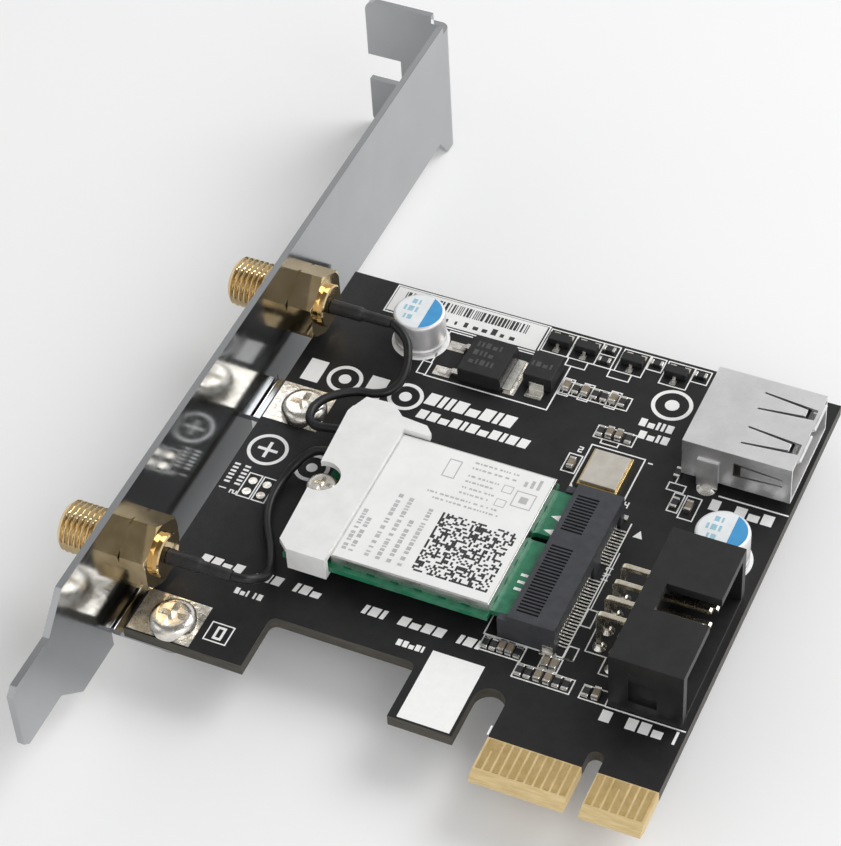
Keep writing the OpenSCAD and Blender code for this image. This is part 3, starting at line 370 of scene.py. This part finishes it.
class Print:
    """Thin printed shapes, gathered into one piece."""

    def __init__(self, z, thickness=INK_Z):
        self.low = z
        self.high = z + thickness
        self.step = thickness / 20
        self.points = []
        self.faces = []
        self.shapes = 0

    def slab(self, outline):
        """A thin slab over a convex outline. Neighbours differ a little in height, so that two
        slabs which overlap never share a face."""
        start = len(self.points)
        n = len(outline)
        high = self.high + self.shapes % 7 * self.step
        self.shapes += 1
        self.points += [(x, y, self.low) for x, y in outline]
        self.points += [(x, y, high) for x, y in outline]
        self.faces.append(tuple(start + k for k in reversed(range(n))))
        self.faces.append(tuple(start + n + k for k in range(n)))
        for k in range(n):
            m = (k + 1) % n
            self.faces.append((start + k, start + m, start + n + m, start + n + k))

    def rect(self, x0, y0, x1, y1):
        self.slab([(x0, y0), (x1, y0), (x1, y1), (x0, y1)])

    def line(self, x0, y0, x1, y1, width=0.18):
        """A stroke with squared ends that reach half a width past its points."""
        length = math.hypot(x1 - x0, y1 - y0)
        ux = (x1 - x0) / length * width / 2
        uy = (y1 - y0) / length * width / 2
        self.slab([(x0 - ux + uy, y0 - uy - ux), (x1 + ux + uy, y1 + uy - ux),
                   (x1 + ux - uy, y1 + uy + ux), (x0 - ux - uy, y0 - uy + ux)])

    def path(self, places, width=0.18):
        for a, b in zip(places, places[1:]):
            self.line(*a, *b, width)

    def frame(self, x0, y0, x1, y1, width=0.16):
        h = width / 2
        self.rect(x0 - h, y0 - h, x1 + h, y0 + h)
        self.rect(x0 - h, y1 - h, x1 + h, y1 + h)
        self.rect(x0 - h, y0 + h, x0 + h, y1 - h)
        self.rect(x1 - h, y0 + h, x1 + h, y1 - h)

    def arc(self, x, y, r, start, end, width):
        """A band of a circle between two angles in degrees."""
        steps = max(4, int(abs(end - start) / 9))
        inner = r - width / 2
        outer = r + width / 2
        for k in range(steps):
            a = math.radians(start + (end - start) * k / steps)
            b = math.radians(start + (end - start) * (k + 1) / steps)
            self.slab([(x + inner * math.cos(a), y + inner * math.sin(a)),
                       (x + outer * math.cos(a), y + outer * math.sin(a)),
                       (x + outer * math.cos(b), y + outer * math.sin(b)),
                       (x + inner * math.cos(b), y + inner * math.sin(b))])

    def ring(self, x, y, r, width):
        self.arc(x, y, r, 0, 360, width)

    def disc(self, x, y, r, count=32):
        self.slab([(x + r * math.cos(2 * math.pi * k / count), y + r * math.sin(2 * math.pi * k / count))
                   for k in range(count)])

    def numeral(self, digit, x, y, height, weight=0.17, turn=0):
        """One of the digits the board uses, in seven-bar form, with its lower left corner at (x, y)."""
        tall = height
        wide = height * 0.52
        bars = {
            "a": ((0, tall), (wide, tall)), "b": ((wide, tall / 2), (wide, tall)),
            "c": ((wide, 0), (wide, tall / 2)), "d": ((0, 0), (wide, 0)),
            "e": ((0, 0), (0, tall / 2)), "f": ((0, tall / 2), (0, tall)),
            "g": ((0, tall / 2), (wide, tall / 2)),
        }
        shapes = {0: "abcdef", 1: "bc", 2: "abged", 4: "fgbc", 7: "abc"}
        c = math.cos(math.radians(turn))
        s = math.sin(math.radians(turn))
        for bar in shapes[digit]:
            (ax, ay), (bx, by) = bars[bar]
            self.line(x + ax * c - ay * s, y + ax * s + ay * c,
                      x + bx * c - by * s, y + bx * s + by * c, height * weight)

    def build(self, name, material):
        obj = mesh_object(name, self.points, self.faces)
        return finish_piece(obj, material, CARD, ())


# ------------------------------------------------------------------ pigtails

HIGH_ROUTE = [
    (-46.82, 56.9, 5.11), (-46, 56.5, 5.08), (-45.1, 56, 4.9), (-44.1, 55.2, 4.5),
    (-43.3, 53.8, 3.9), (-42.8, 52, 3.2), (-42.8, 50.1, 2.6), (-43.6, 48.4, 2.3), (-45.1, 47.4, 2.3),
    (-46.9, 46.7, 2.6), (-48.6, 45.4, 2.9), (-50, 43.7, 3.1), (-50.7, 41.8, 3.1), (-50.3, 40, 3.1),
    (-49, 39.1, 3.2), (-47.2, 39.1, 3.5), (-45.4, 39.2, 3.7), (-43.62, 39.2, 3.72),
]
LOW_ROUTE = [
    (-46.82, 12.4, 5.11), (-46, 12.4, 5.11), (-45, 12.8, 4.9), (-44.3, 13.9, 4.2), (-44.2, 15.5, 3),
    (-45, 17.9, 1.6), (-46.6, 21.1, 0.8), (-48.8, 24.7, 0.7), (-49.9, 27.9, 0.7), (-50, 31.2, 0.9),
    (-49.2, 33.9, 1.7), (-47.7, 35.3, 2.8), (-46, 35.5, 3.5), (-44.8, 35.4, 3.7), (-43.62, 35.4, 3.72),
]
COAX_D = 1.13


def smooth_route(route, steps=10):
    """Points of a curve that passes through every point of a route."""
    pts = [Vector(p) for p in route]
    out = []
    for i in range(len(pts) - 1):
        a = pts[max(i - 1, 0)]
        b = pts[i]
        c = pts[i + 1]
        d = pts[min(i + 2, len(pts) - 1)]
        for k in range(steps):
            t = k / steps
            out.append(0.5 * (2 * b + (c - a) * t + (2 * a - 5 * b + 4 * c - d) * t * t
                              + (3 * b - a - 3 * c + d) * t * t * t))
    out.append(pts[-1])
    return out


def add_pigtail(side, route):
    """A thin coaxial lead, held by the jack's sleeve at one end and by its plug at the other."""
    points = smooth_route(route)
    data = bpy.data.curves.new(side + "_lead", "CURVE")
    data.dimensions = "3D"
    line = data.splines.new("POLY")
    line.points.add(len(points) - 1)
    for place, point in zip(line.points, points):
        place.co = (*(point * MM), 1)
    data.bevel_depth = COAX_D / 2 * MM
    data.bevel_resolution = 6
    data.use_fill_caps = True
    obj = object_from(side + "_lead", data)
    finish_piece(obj, "coax_jacket", CARD, (side + "_pigtail",))


# ------------------------------------------------------------------ antenna jacks

JACK_Z = 5.11
JACKS = {"upper": 56.9, "lower": 12.4}
THREAD_R = 3.175
THREAD_PITCH = 25.4 / 36
THREAD_DEPTH = 0.36
FLAT = 2.9
HEX_AF = 8.0
HEX_LENGTH = 3.45
JACK_TIP = -68.4
BLADE_INNER = -59.4
NUT_OUTER = -62.7
NUT_INNER = -60.7
NUT_CLEAR = 0.05


def hex_radius(corner_deg):
    """Radius of a hexagon with a corner at that angle."""
    def radius(angle):
        b = (math.degrees(angle) - corner_deg) % 60 - 30
        return HEX_AF / 2 / math.cos(math.radians(b))
    return radius


def chamfered_hex(x0, x1, corner_deg):
    """Rings of a hexagon between x0 and x1 whose corners are chamfered at both ends."""
    plain = hex_radius(corner_deg)
    corner = HEX_AF / math.sqrt(3)
    low = HEX_AF / 2 + 0.22
    depth = 0.2

    def cut(limit):
        return lambda angle, place: min(plain(angle), limit)

    steps = 5
    rings = []
    for k in range(steps + 1):
        share = k / steps
        rings.append((x0 + depth * share, cut(low + (corner - low) * share)))
    for k in range(steps + 1):
        share = 1 - k / steps
        rings.append((x1 - depth * share, cut(low + (corner - low) * share)))
    return rings


def thread_radius(angle, place):
    """Helical vee thread, cut off by the anti-turn flat on the component side."""
    turn = (place / THREAD_PITCH + angle / (2 * math.pi)) % 1
    groove = max(0.0, 1 - abs(turn - 0.5) * 2.5)
    r = THREAD_R - THREAD_DEPTH * groove
    rise = math.sin(angle)
    if rise > 0:
        r = min(r, FLAT / rise)
    return r


def smaller_thread(drop):
    return lambda angle, place: min(thread_radius(angle, place), THREAD_R - drop)


def add_jack(side, y):
    """Jack body: hexagon, crimp collar and threaded barrel in one closed shell."""
    centre = (0, y, JACK_Z)
    tip = JACK_TIP
    inner = BLADE_INNER
    outer = inner + HEX_LENGTH
    rings = [(tip, lambda a, p: 2.72), (tip + 0.15, smaller_thread(0.36)), (tip + 0.4, smaller_thread(0.1))]
    step = THREAD_PITCH / 8
    count = int((inner - tip - 0.5) / step)
    for k in range(count + 1):
        rings.append((tip + 0.5 + k * step, thread_radius))
    rings.append((inner - 0.001, thread_radius))
    rings += chamfered_hex(inner, outer, 90)
    rings += [(outer, lambda a, p: 3.1), (outer + 0.05, lambda a, p: 2.75),
              (outer + 0.65, lambda a, p: 2.75), (outer + 0.8, lambda a, p: 2.55),
              (outer + 0.8, lambda a, p: 0.95), (-62.5, lambda a, p: 0.95),
              (-62.5, lambda a, p: 2.3), (tip + 0.25, lambda a, p: 2.3), (tip, lambda a, p: 2.5)]
    shell = turned(side + "_jack_shell", "x", centre, rings, 96, closed=True)
    finish_piece(shell, "jack_gold", CARD, (side + "_jack_body",), 14)

    bore = THREAD_R + NUT_CLEAR
    nut = chamfered_hex(NUT_OUTER, NUT_INNER, 0)
    nut += [(NUT_INNER, lambda a, p: bore + 0.25), (NUT_INNER - 0.25, lambda a, p: bore),
            (NUT_OUTER + 0.25, lambda a, p: bore), (NUT_OUTER, lambda a, p: bore + 0.25)]
    nut_piece = turned(side + "_nut_skin", "x", centre, nut, 96, closed=True)
    finish_piece(nut_piece, "jack_gold", side + "_nut", (side + "_jack_nut",), 14)
    refine(side + "_lock_washer", "jack_gold", 0.04, 1)
    refine(side + "_jack_insulator", "jack_dielectric", 0.05, 2)
    refine(side + "_jack_pin", "contact_gold", 0.08, 3)

    sleeve = [(-55.13, 0.7), (-55.1, 0.97), (-54.9, 1.0), (-54.4, 0.93), (-53.6, 0.95), (-52.6, 0.92),
              (-51.6, 0.95), (-51.1, 0.93), (-50.9, 0.84), (-50.7, 0.74), (-49.8, 0.72), (-48.8, 0.74),
              (-47.8, 0.71), (-47.1, 0.72), (-46.9, 0.66), (-46.88, 0.5)]
    skin = turned(side + "_sleeve_skin", "x", centre, sleeve, 32)
    finish_piece(skin, "sleeve_plastic", CARD, (side + "_jack_sleeve",), 50)
    refine(side + "_coax_plug", "plug_gold", 0.1, 2)


# ------------------------------------------------------------------ capacitors


CAN_TOP = 4.98
SUPPLY_CAP = (-44.6, 60.2)
PORT_CAP = (3.0, 39.9)


def add_capacitor(name, x, y):
    """Drawn can with a curled lower rim, a crimp above it and a printed top."""
    profile = [(0.95, 2.2), (0.4, 2.7), (0.27, 2.85), (0.25, 3.1), (0.3, 3.22), (0.42, 3.29), (0.7, 3.3),
               (0.85, 3.22), (0.95, 3.1), (1.05, 3.08), (1.15, 3.14), (1.3, 3.27), (1.45, 3.3),
               (4.5, 3.3), (4.72, 3.27), (4.87, 3.19), (4.96, 3.05), (CAN_TOP, 2.93), (4.97, 2.86)]
    can = turned(name + "_can_skin", "z", (x, y, 0), profile, 72)
    finish_piece(can, "capacitor_aluminium", CARD, (name + "_can",), 40)
    refine(name + "_base", "capacitor_plastic", 0.05, 2)

    r = 2.9
    white = Print(CAN_TOP - 0.01, 0.018)
    white.disc(x, y, r, 56)
    white.build(name + "_top_white", "cap_white")
    blue = Print(CAN_TOP, 0.014)
    chord = math.degrees(math.acos(0.34))
    steps = 24
    rim = []
    for k in range(steps + 1):
        a = math.radians(-chord + 2 * chord * k / steps)
        rim.append((x + r * math.cos(a), y + r * math.sin(a)))
    blue.slab(rim)
    blue.build(name + "_top_blue", "cap_blue")
    marks = Print(CAN_TOP, 0.014)
    print_text_bars(marks, x - 1.5, y + 1.1, 0.8, "#|", 0.6, 0.25)
    print_text_bars(marks, x - 2.1, y - 0.3, 0.9, "|#|", 0.7, 0.25)
    print_text_bars(marks, x - 1.6, y - 1.7, 0.8, "|#", 0.6, 0.25)
    marks.build(name + "_top_marks", "cap_print")


# ------------------------------------------------------------------ board print


def print_text_bars(ink, x, y, height, kinds, width, gap, slant=0.0):
    """A row of plain solid blocks that keeps the place and weight of printed words, with no letters:
    # is a full block, | a narrow one and . a low one."""
    for kind in kinds:
        step = width * 0.45 if kind == "|" else width
        tall = height * 0.65 if kind == "." else height
        lean = slant * tall / height
        if kind != " ":
            ink.slab([(x, y), (x + step, y), (x + step + lean, y + tall), (x + lean, y + tall)])
        x += step + gap


def print_part_outlines(ink):
    """Outlines that mark where the small parts sit."""
    for x in (-28.05, -24.45, -18.2, -12.3):
        ink.frame(x - 1.75, 64, x + 1.75, 68)
    for x0, y0, x1, y1 in (
        (-22.7, 66.1, -20.5, 68), (-22.7, 64, -20.5, 66.1), (-16.3, 65.7, -14.4, 68),
        (-10.5, 65.7, -8.4, 68), (-26, 62.7, -23.4, 64), (-20.4, 62.7, -17.6, 64),
        (-25.1, 58, -16, 60.2), (-25, 57.7, -23.7, 60.6), (-22.4, 57.7, -21.1, 60.6),
        (-18.8, 57.7, -17.5, 60.6), (-18.2, 52.6, -13.2, 54.6), (-17, 51.9, -14.8, 52.6),
        (-19.8, 46, -18.1, 49), (-18.2, 16.9, -13, 19), (-10.8, 16.9, -8.5, 18.9),
        (-13.1, 14.6, -6.1, 16.7), (-4.9, 14.6, -1.7, 16.6), (-8.6, 19.2, -7.4, 21.1),
        (-8.6, 24.4, -7.4, 27), (-5.7, 44.6, -4.4, 47.6), (-4.1, 44, -2.3, 47.7),
        (-6.9, 47.8, -4.8, 49), (-54.6, 27.8, -52.9, 31.7), (-52.6, 27.8, -50.9, 31.7),
        (-42.8, 54.7, -41.6, 56.9), (-48.2, 6.4, -45.4, 9.1),
    ):
        ink.frame(x0, y0, x1, y1)
    for k in range(6):
        ink.line(-24.55 + k * 1.25, 58.1, -24.55 + k * 1.25, 60.1, 0.12)
    ink.path([(-17.8, 43.4), (-17.8, 51.3), (-10.9, 51.3), (-10.9, 43.4)], 0.18)
    ink.path([(-17.8, 44.4), (-17.2, 43.4)], 0.18)
    ink.path([(-41.7, 57), (-41.7, 62.9), (-38.7, 62.9)], 0.18)
    ink.path([(-41.7, 54.6), (-25.2, 54.6), (-25.2, 62.6)], 0.18)
    ink.path([(-32.7, 62.9), (-30.1, 62.9)], 0.18)
    ink.frame(-51.2, 63.3, -30.1, 68.2, 0.18)
    ink.path([(-18.4, 22.3), (-18.4, 19.2), (-7.4, 19.2)], 0.18)
    ink.path([(-8.7, 19.2), (-8.7, 41)], 0.16)
    ink.path([(-8.35, 27.1), (-8.35, 36.2)], 0.12)
    ink.path([(-6.7, 25.1), (-6.7, 21.1), (-4.1, 21.1), (-4.1, 18.6), (-2.5, 18.6)], 0.16)
    ink.path([(-6.3, 34.9), (-4, 34.9)], 0.16)
    ink.path([(-1.6, 14.55), (7.9, 14.55)], 0.18)
    ink.path([(-6.2, 49.1), (-6.2, 51.6)], 0.16)
    ink.path([(-0.6, 49), (8, 49)], 0.2)
    ink.slab([(-7.9, 39.2), (-6.7, 39.2), (-7.3, 40.4)])
    for place in (PORT_CAP, SUPPLY_CAP):
        ink.ring(*place, 3.25, 0.9)


def print_marks(ink):
    """Plain marks, with a few single digits, in the places where the board carries print."""
    ink.rect(-22.8, 4.5, -16.35, 14.7)
    ink.numeral(0, -47.15, 6.95, 1.6, 0.2)
    ink.numeral(1, -12.9, 6.1, 1.1, 0.2)
    ink.ring(-54.3, 35.9, 2.35, 0.45)
    ink.path([(-55.4, 35.9), (-53.2, 35.9)], 0.42)
    ink.path([(-54.3, 34.8), (-54.3, 37)], 0.42)
    ink.ring(-48, 35.2, 2.0, 0.5)
    ink.disc(-48, 35.2, 0.7)
    ink.ring(-11.1, 61, 2.35, 0.5)
    ink.disc(-11.1, 61, 0.9)
    # plain marks by the upper jack
    ink.rect(-56, 48.4, -53.6, 52.2)
    ink.ring(-50.6, 50.3, 2.05, 0.5)
    ink.disc(-50.6, 50.3, 0.8)
    ink.rect(-47.6, 48.4, -45.2, 52.2)
    ink.ring(-42.3, 50.3, 2.05, 0.5)
    ink.disc(-42.3, 50.3, 0.8)
    # headings as plain blocks
    print_text_bars(ink, -39.8, 50.1, 2.0, "#||#.#|#", 1.5, 0.3, 0.3)
    print_text_bars(ink, -39.8, 47.6, 1.5, "##.#|#.#|##", 1.2, 0.28, 0.2)
    print_text_bars(ink, -54, 16.7, 1.35, "##.# .|# |#.", 1.15, 0.28, 0.2)
    print_text_bars(ink, -32.9, 16.7, 1.35, "|#| #.## |#|", 1.2, 0.28, 0.2)
    print_text_bars(ink, -48, 13.9, 0.9, "#.|", 0.55, 0.2)
    print_text_bars(ink, -45.6, 13.9, 0.9, "|#", 0.6, 0.25)
    print_text_bars(ink, -27.2, 13.9, 0.9, "##.#|", 0.6, 0.18)
    print_text_bars(ink, -13.8, 56.4, 1.3, "#.||#", 0.85, 0.25)
    print_text_bars(ink, -13.2, 54.4, 1.3, "#.|#", 0.9, 0.25)
    print_text_bars(ink, -1.7, 12.5, 1.6, "# ##.", 1.25, 0.3)
    ink.numeral(1, 6.4, 12.55, 1.55, 0.2)
    print_text_bars(ink, -1.2, 46.6, 1.7, "#", 1.2, 0.3)
    print_text_bars(ink, 1.9, 46.6, 1.7, "#.#", 1.4, 0.3)
    ink.numeral(2, -19, 49.6, 0.8, 0.2)
    ink.numeral(4, -10.6, 43.2, 0.8, 0.2)
    ink.line(-10.3, 50.9, -9.9, 50.9, 0.2)
    for k in range(6):
        ink.rect(-57.05, 29.3 + k * 0.6, -56.3, 29.3 + k * 0.6 + 0.3)
        ink.rect(-55.65, 29.3 + k * 0.6, -54.9, 29.3 + k * 0.6 + 0.3)
    ink.numeral(1, -56.3, 27.9, 0.8, 0.2, 90)
    ink.numeral(2, -54.8, 27.9, 0.8, 0.2, 90)
    for k in range(3):
        ink.numeral(k * 3 + 1, -8.2, 31.4 + k * 0.95, 0.7, 0.2, 90)


def add_part_print():
    """Faint rows of bars on the two larger power parts."""
    top = Print(2.3, 0.01)
    for row, kinds in enumerate(("||#.|", "#||.", ".|#||")):
        print_text_bars(top, -36.6, 59.7 - row * 1.5, 0.9, kinds, 0.6, 0.3)
    top.build("regulator_print", "part_grey")
    side = Print(2.2, 0.01)
    print_text_bars(side, -29.1, 59.2, 0.85, "|#.|", 0.6, 0.3)
    side.build("diode_print", "part_grey")


def add_pads():
    """Tinned pads under the leads of the power parts and the transistors."""
    tin = Print(0.0, 0.035)
    for y in (56, 60.6):
        tin.rect(-40.9, y - 0.8, -38.6, y + 0.8)
    tin.rect(-31.4, 55.3, -29.9, 61.3)
    tin.rect(-28.7, 62.1, -26.5, 63.4)
    tin.rect(-28.7, 55.8, -26.5, 57.1)
    for x, y in ((-28, 66), (-24.4, 66), (-18.2, 66), (-12.4, 66)):
        tin.rect(x - 0.4, y - 1.75, x + 0.4, y - 0.85)
        tin.rect(x - 1.35, y + 0.85, x - 0.55, y + 1.7)
        tin.rect(x + 0.55, y + 0.85, x + 1.35, y + 1.7)
    tin.build("tinned_pads", "tinned_copper")


def add_board_print():
    ink = Print(0.0)
    print_part_outlines(ink)
    print_marks(ink)
    ink.build("silkscreen", "ink_white")


# ------------------------------------------------------------------ labels


def add_module_print():
    """Faint print on the module's label, and a square of random cells that encodes nothing."""
    top = 4.55
    grey = Print(top, 0.012)
    rng = random.Random(7)
    for x, y0, y1 in ((-37, 21.4, 27.8), (-36.1, 21.4, 26.6), (-34.1, 21.4, 31.6), (-32.7, 21.4, 31.4),
                      (-31.3, 21.4, 28.6), (-29.9, 21.4, 30.8)):
        y = y0
        while y < y1:
            step = rng.choice((0.25, 0.4, 0.55))
            grey.rect(x - 0.28, y, x + 0.28, y + step)
            y += step + rng.choice((0.16, 0.2, 0.5))
    for y, x0, x1 in ((39.5, -28, -22.4), (38.6, -28, -22.8), (37.3, -28, -24.2), (36.4, -28, -24.4),
                      (35.4, -28, -24.2), (34.5, -28, -24.4), (33.4, -31.6, -22.4), (32.6, -30.6, -22.4)):
        x = x0
        while x < x1:
            step = rng.choice((0.2, 0.35, 0.5))
            grey.rect(x, y - 0.13, x + step, y + 0.13)
            x += step + rng.choice((0.14, 0.18, 0.4))
    grey.frame(-21.6, 34.8, -19.2, 37.2, 0.14)
    grey.rect(-20.9, 35.5, -19.9, 36.5)
    grey.frame(-23.4, 36.4, -22.2, 37.5, 0.1)
    grey.frame(-23.4, 34.1, -22.2, 35.2, 0.1)
    for k in range(3):
        grey.rect(-21.3 + k * 0.8, 38.1, -20.9 + k * 0.8, 38.9 + k * 0.4)
    grey.frame(-31, 36.2, -29.5, 39, 0.14)
    grey.build("module_label_print", "ink_grey")

    black = Print(top, 0.012)
    cells = 34
    square = 9.5
    left = -28.4
    low = 21.4
    fill = 0.96  # share of a cell's width that is inked
    size = square / cells
    for i in range(cells):
        for j in range(cells):
            edge = i == 0 or j == 0 or i == cells // 2 or j == cells // 2
            if rng.random() < (0.8 if edge else 0.42):
                x = left + i * size
                y = low + j * size
                black.rect(x, y, x + size * fill, y + size * fill)
    black.build("module_label_cells", "ink_black")

    white = Print(3.05, 0.012)
    for k in range(3):
        white.rect(-16.8, 24.2 + k * 1.1, -15.9, 24.6 + k * 1.1)
    white.slab([(-17, 36.2), (-15.8, 35.7), (-15.8, 36.7)])
    white.slab([(-17, 33.9), (-15.8, 33.4), (-15.8, 34.4)])
    white.build("module_board_print", "ink_white")


def add_serial_print():
    """Bars of random width, with a row of plain blocks below them, on the serial label."""
    black = Print(0.05, 0.012)
    rng = random.Random(21)
    x = -49.6
    while x < -32.6:
        wide = rng.choice((0.12, 0.12, 0.24, 0.36))
        black.rect(x, 65.9, x + wide, 67.5)
        x += wide + rng.choice((0.14, 0.14, 0.28))
    for k in range(11):
        tall = rng.choice((0.6, 0.85, 1.1))
        wide = rng.choice((0.3, 0.5, 0.7))
        x = -46.8 + k * 1.25
        black.rect(x, 64.15, x + wide, 64.15 + tall)
    black.build("serial_label_print", "ink_black")


# ------------------------------------------------------------------ the rest of the card

# Each row is a CAD node, its material, its bevel in mm and the bevel's segments, then in some rows a slot,
# which refine takes but does not use
BOARD_PARTS = (
    ("circuit_board", "solder_mask", 0.0, 2),
    ("edge_contacts_front", "contact_gold", 0.0, 2),
    ("edge_contacts_back", "contact_gold", 0.0, 2),
    ("mounting_pads", "tinned_copper", 0.0, 2),
    ("test_pads", "tinned_copper", 0.0, 2),
    ("bracket", "bracket_steel", 0.08, 3),
    ("upper_bracket_screw", "plated_screw", 0.06, 2),
    ("lower_bracket_screw", "plated_screw", 0.06, 2),
    ("capacitor_leads", "lead_tin", 0.02, 1),
    ("regulator_body", "moulding_compound", 0.1, 2),
    ("regulator_leads", "lead_tin", 0.05, 1),
    ("diode_body", "moulding_compound", 0.12, 2),
    ("diode_leads", "lead_tin", 0.04, 1),
    ("transistor_bodies", "moulding_compound", 0.1, 2),
    ("transistor_leads", "lead_tin", 0.02, 1),
    ("crystal_base", "crystal_ceramic", 0.06, 2),
    ("crystal_lid", "crystal_cover", 0.12, 3),
    ("chip_resistors", "resistor_glaze", 0.03, 1),
    ("chip_capacitors", "capacitor_ceramic", 0.05, 2),
    ("chip_terminals", "lead_tin", 0.05, 2),
    ("serial_label", "label_film", 0.0, 2),
    ("solder_joints", "lead_tin", 0.04, 1),
)


def add_board_parts():
    for row in BOARD_PARTS:
        refine(*row)


MODULE_PARTS = (
    ("antenna_clip", "white_nylon", 0.3, 4),
    ("module_board", "module_laminate", 0.03, 1),
    ("module_contacts", "contact_gold", 0.0, 2),
    ("module_sockets", "plug_gold", 0.03, 1, "contact_gold"),
    ("module_chips", "moulding_compound", 0.05, 1),
    ("module_shield", "shield_tin", 0.08, 2),
    ("module_label", "label_film", 0.0, 2),
    ("standoff", "plated_screw", 0.06, 2),
    ("module_screw", "plated_screw", 0.05, 2),
    ("slot_connector_body", "slot_plastic", 0.05, 1),
    ("slot_connector_contacts", "lead_tin", 0.03, 1),
    ("slot_connector_pegs", "lead_tin", 0.03, 1),
)


def add_module_parts():
    for row in MODULE_PARTS:
        refine(*row)


PORT_PARTS = (
    ("usb_shell", "usb_steel", 0.07, 2),
    ("usb_insulator", "port_plastic", 0.08, 1),
    ("usb_contacts", "contact_gold", 0.03, 1),
    ("header_shroud", "port_plastic", 0.09, 2),
    ("header_pins", "pin_tin", 0.06, 2),
)


def add_ports():
    for row in PORT_PARTS:
        refine(*row)


# ------------------------------------------------------------------ stage


def add_floor():
    """Plain pale floor just under the lowest point of the bracket."""
    half = 1.5
    low = -0.0074
    data = bpy.data.meshes.new("floor")
    data.from_pydata([(-half, -half, low), (half, -half, low), (half, half, low), (-half, half, low)],
                     [], [(0, 1, 2, 3)])
    floor = object_from("floor", data)
    mat, tree, shader = new_material("floor")
    shade = noise(tree, millimetres(tree), 0.01, 2)
    tint = blend_colours(tree, remap(tree, shade, 0, 1), (0.86, 0.86, 0.86), (0.88, 0.88, 0.88))
    tree.links.new(tint, shader.inputs["Base Color"])
    shader.inputs["Roughness"].default_value = 0.9
    shader.inputs["Emission Color"].default_value = (1, 1, 1, 1)
    shader.inputs["Emission Strength"].default_value = 0.08
    data.materials.append(mat)


def add_light(name, place, target, size, watts):
    data = bpy.data.lights.new(name, "AREA")
    data.shape = "RECTANGLE"
    data.size = size[0]
    data.size_y = size[1]
    data.energy = watts
    light = object_from(name, data)
    light.location = Vector(place)
    light.rotation_euler = (Vector(target) - Vector(place)).to_track_quat("-Z", "Y").to_euler()


def add_surround():
    """A bright surround that grows darker overhead, as in a studio with a dark ceiling."""
    world = bpy.data.worlds.new("surround")
    bpy.context.scene.world = world
    world.use_nodes = True
    tree = world.node_tree
    place = tree.nodes.new("ShaderNodeTexCoord")
    split = tree.nodes.new("ShaderNodeSeparateXYZ")
    tree.links.new(place.outputs["Generated"], split.inputs[0])
    glow = remap(tree, split.outputs["Z"], 0.9, 0.25, 0.5, 0.9)
    back = tree.nodes["Background"]
    back.inputs["Color"].default_value = (1, 1, 1, 1)
    tree.links.new(glow, back.inputs["Strength"])


def add_lights():
    """Soft studio light: a broad key from above the far side and a low fill."""
    target = (-0.03, 0.04, 0)
    add_light("key", (0.3, 0.45, 0.55), target, (0.45, 0.45), 2.6)
    add_light("fill", (0.45, -0.3, 0.45), target, (0.4, 0.4), 0.9)


add_camera()
add_pigtail("upper", HIGH_ROUTE)
add_pigtail("lower", LOW_ROUTE)
for jack_side, jack_y in JACKS.items():
    add_jack(jack_side, jack_y)
add_capacitor("supply_capacitor", *SUPPLY_CAP)
add_capacitor("port_capacitor", *PORT_CAP)
add_board_parts()
add_module_parts()
add_ports()
add_pads()
add_board_print()
add_part_print()
add_module_print()
add_serial_print()
add_floor()
add_surround()
add_lights()
bpy.context.scene.view_settings.view_transform = "Standard"
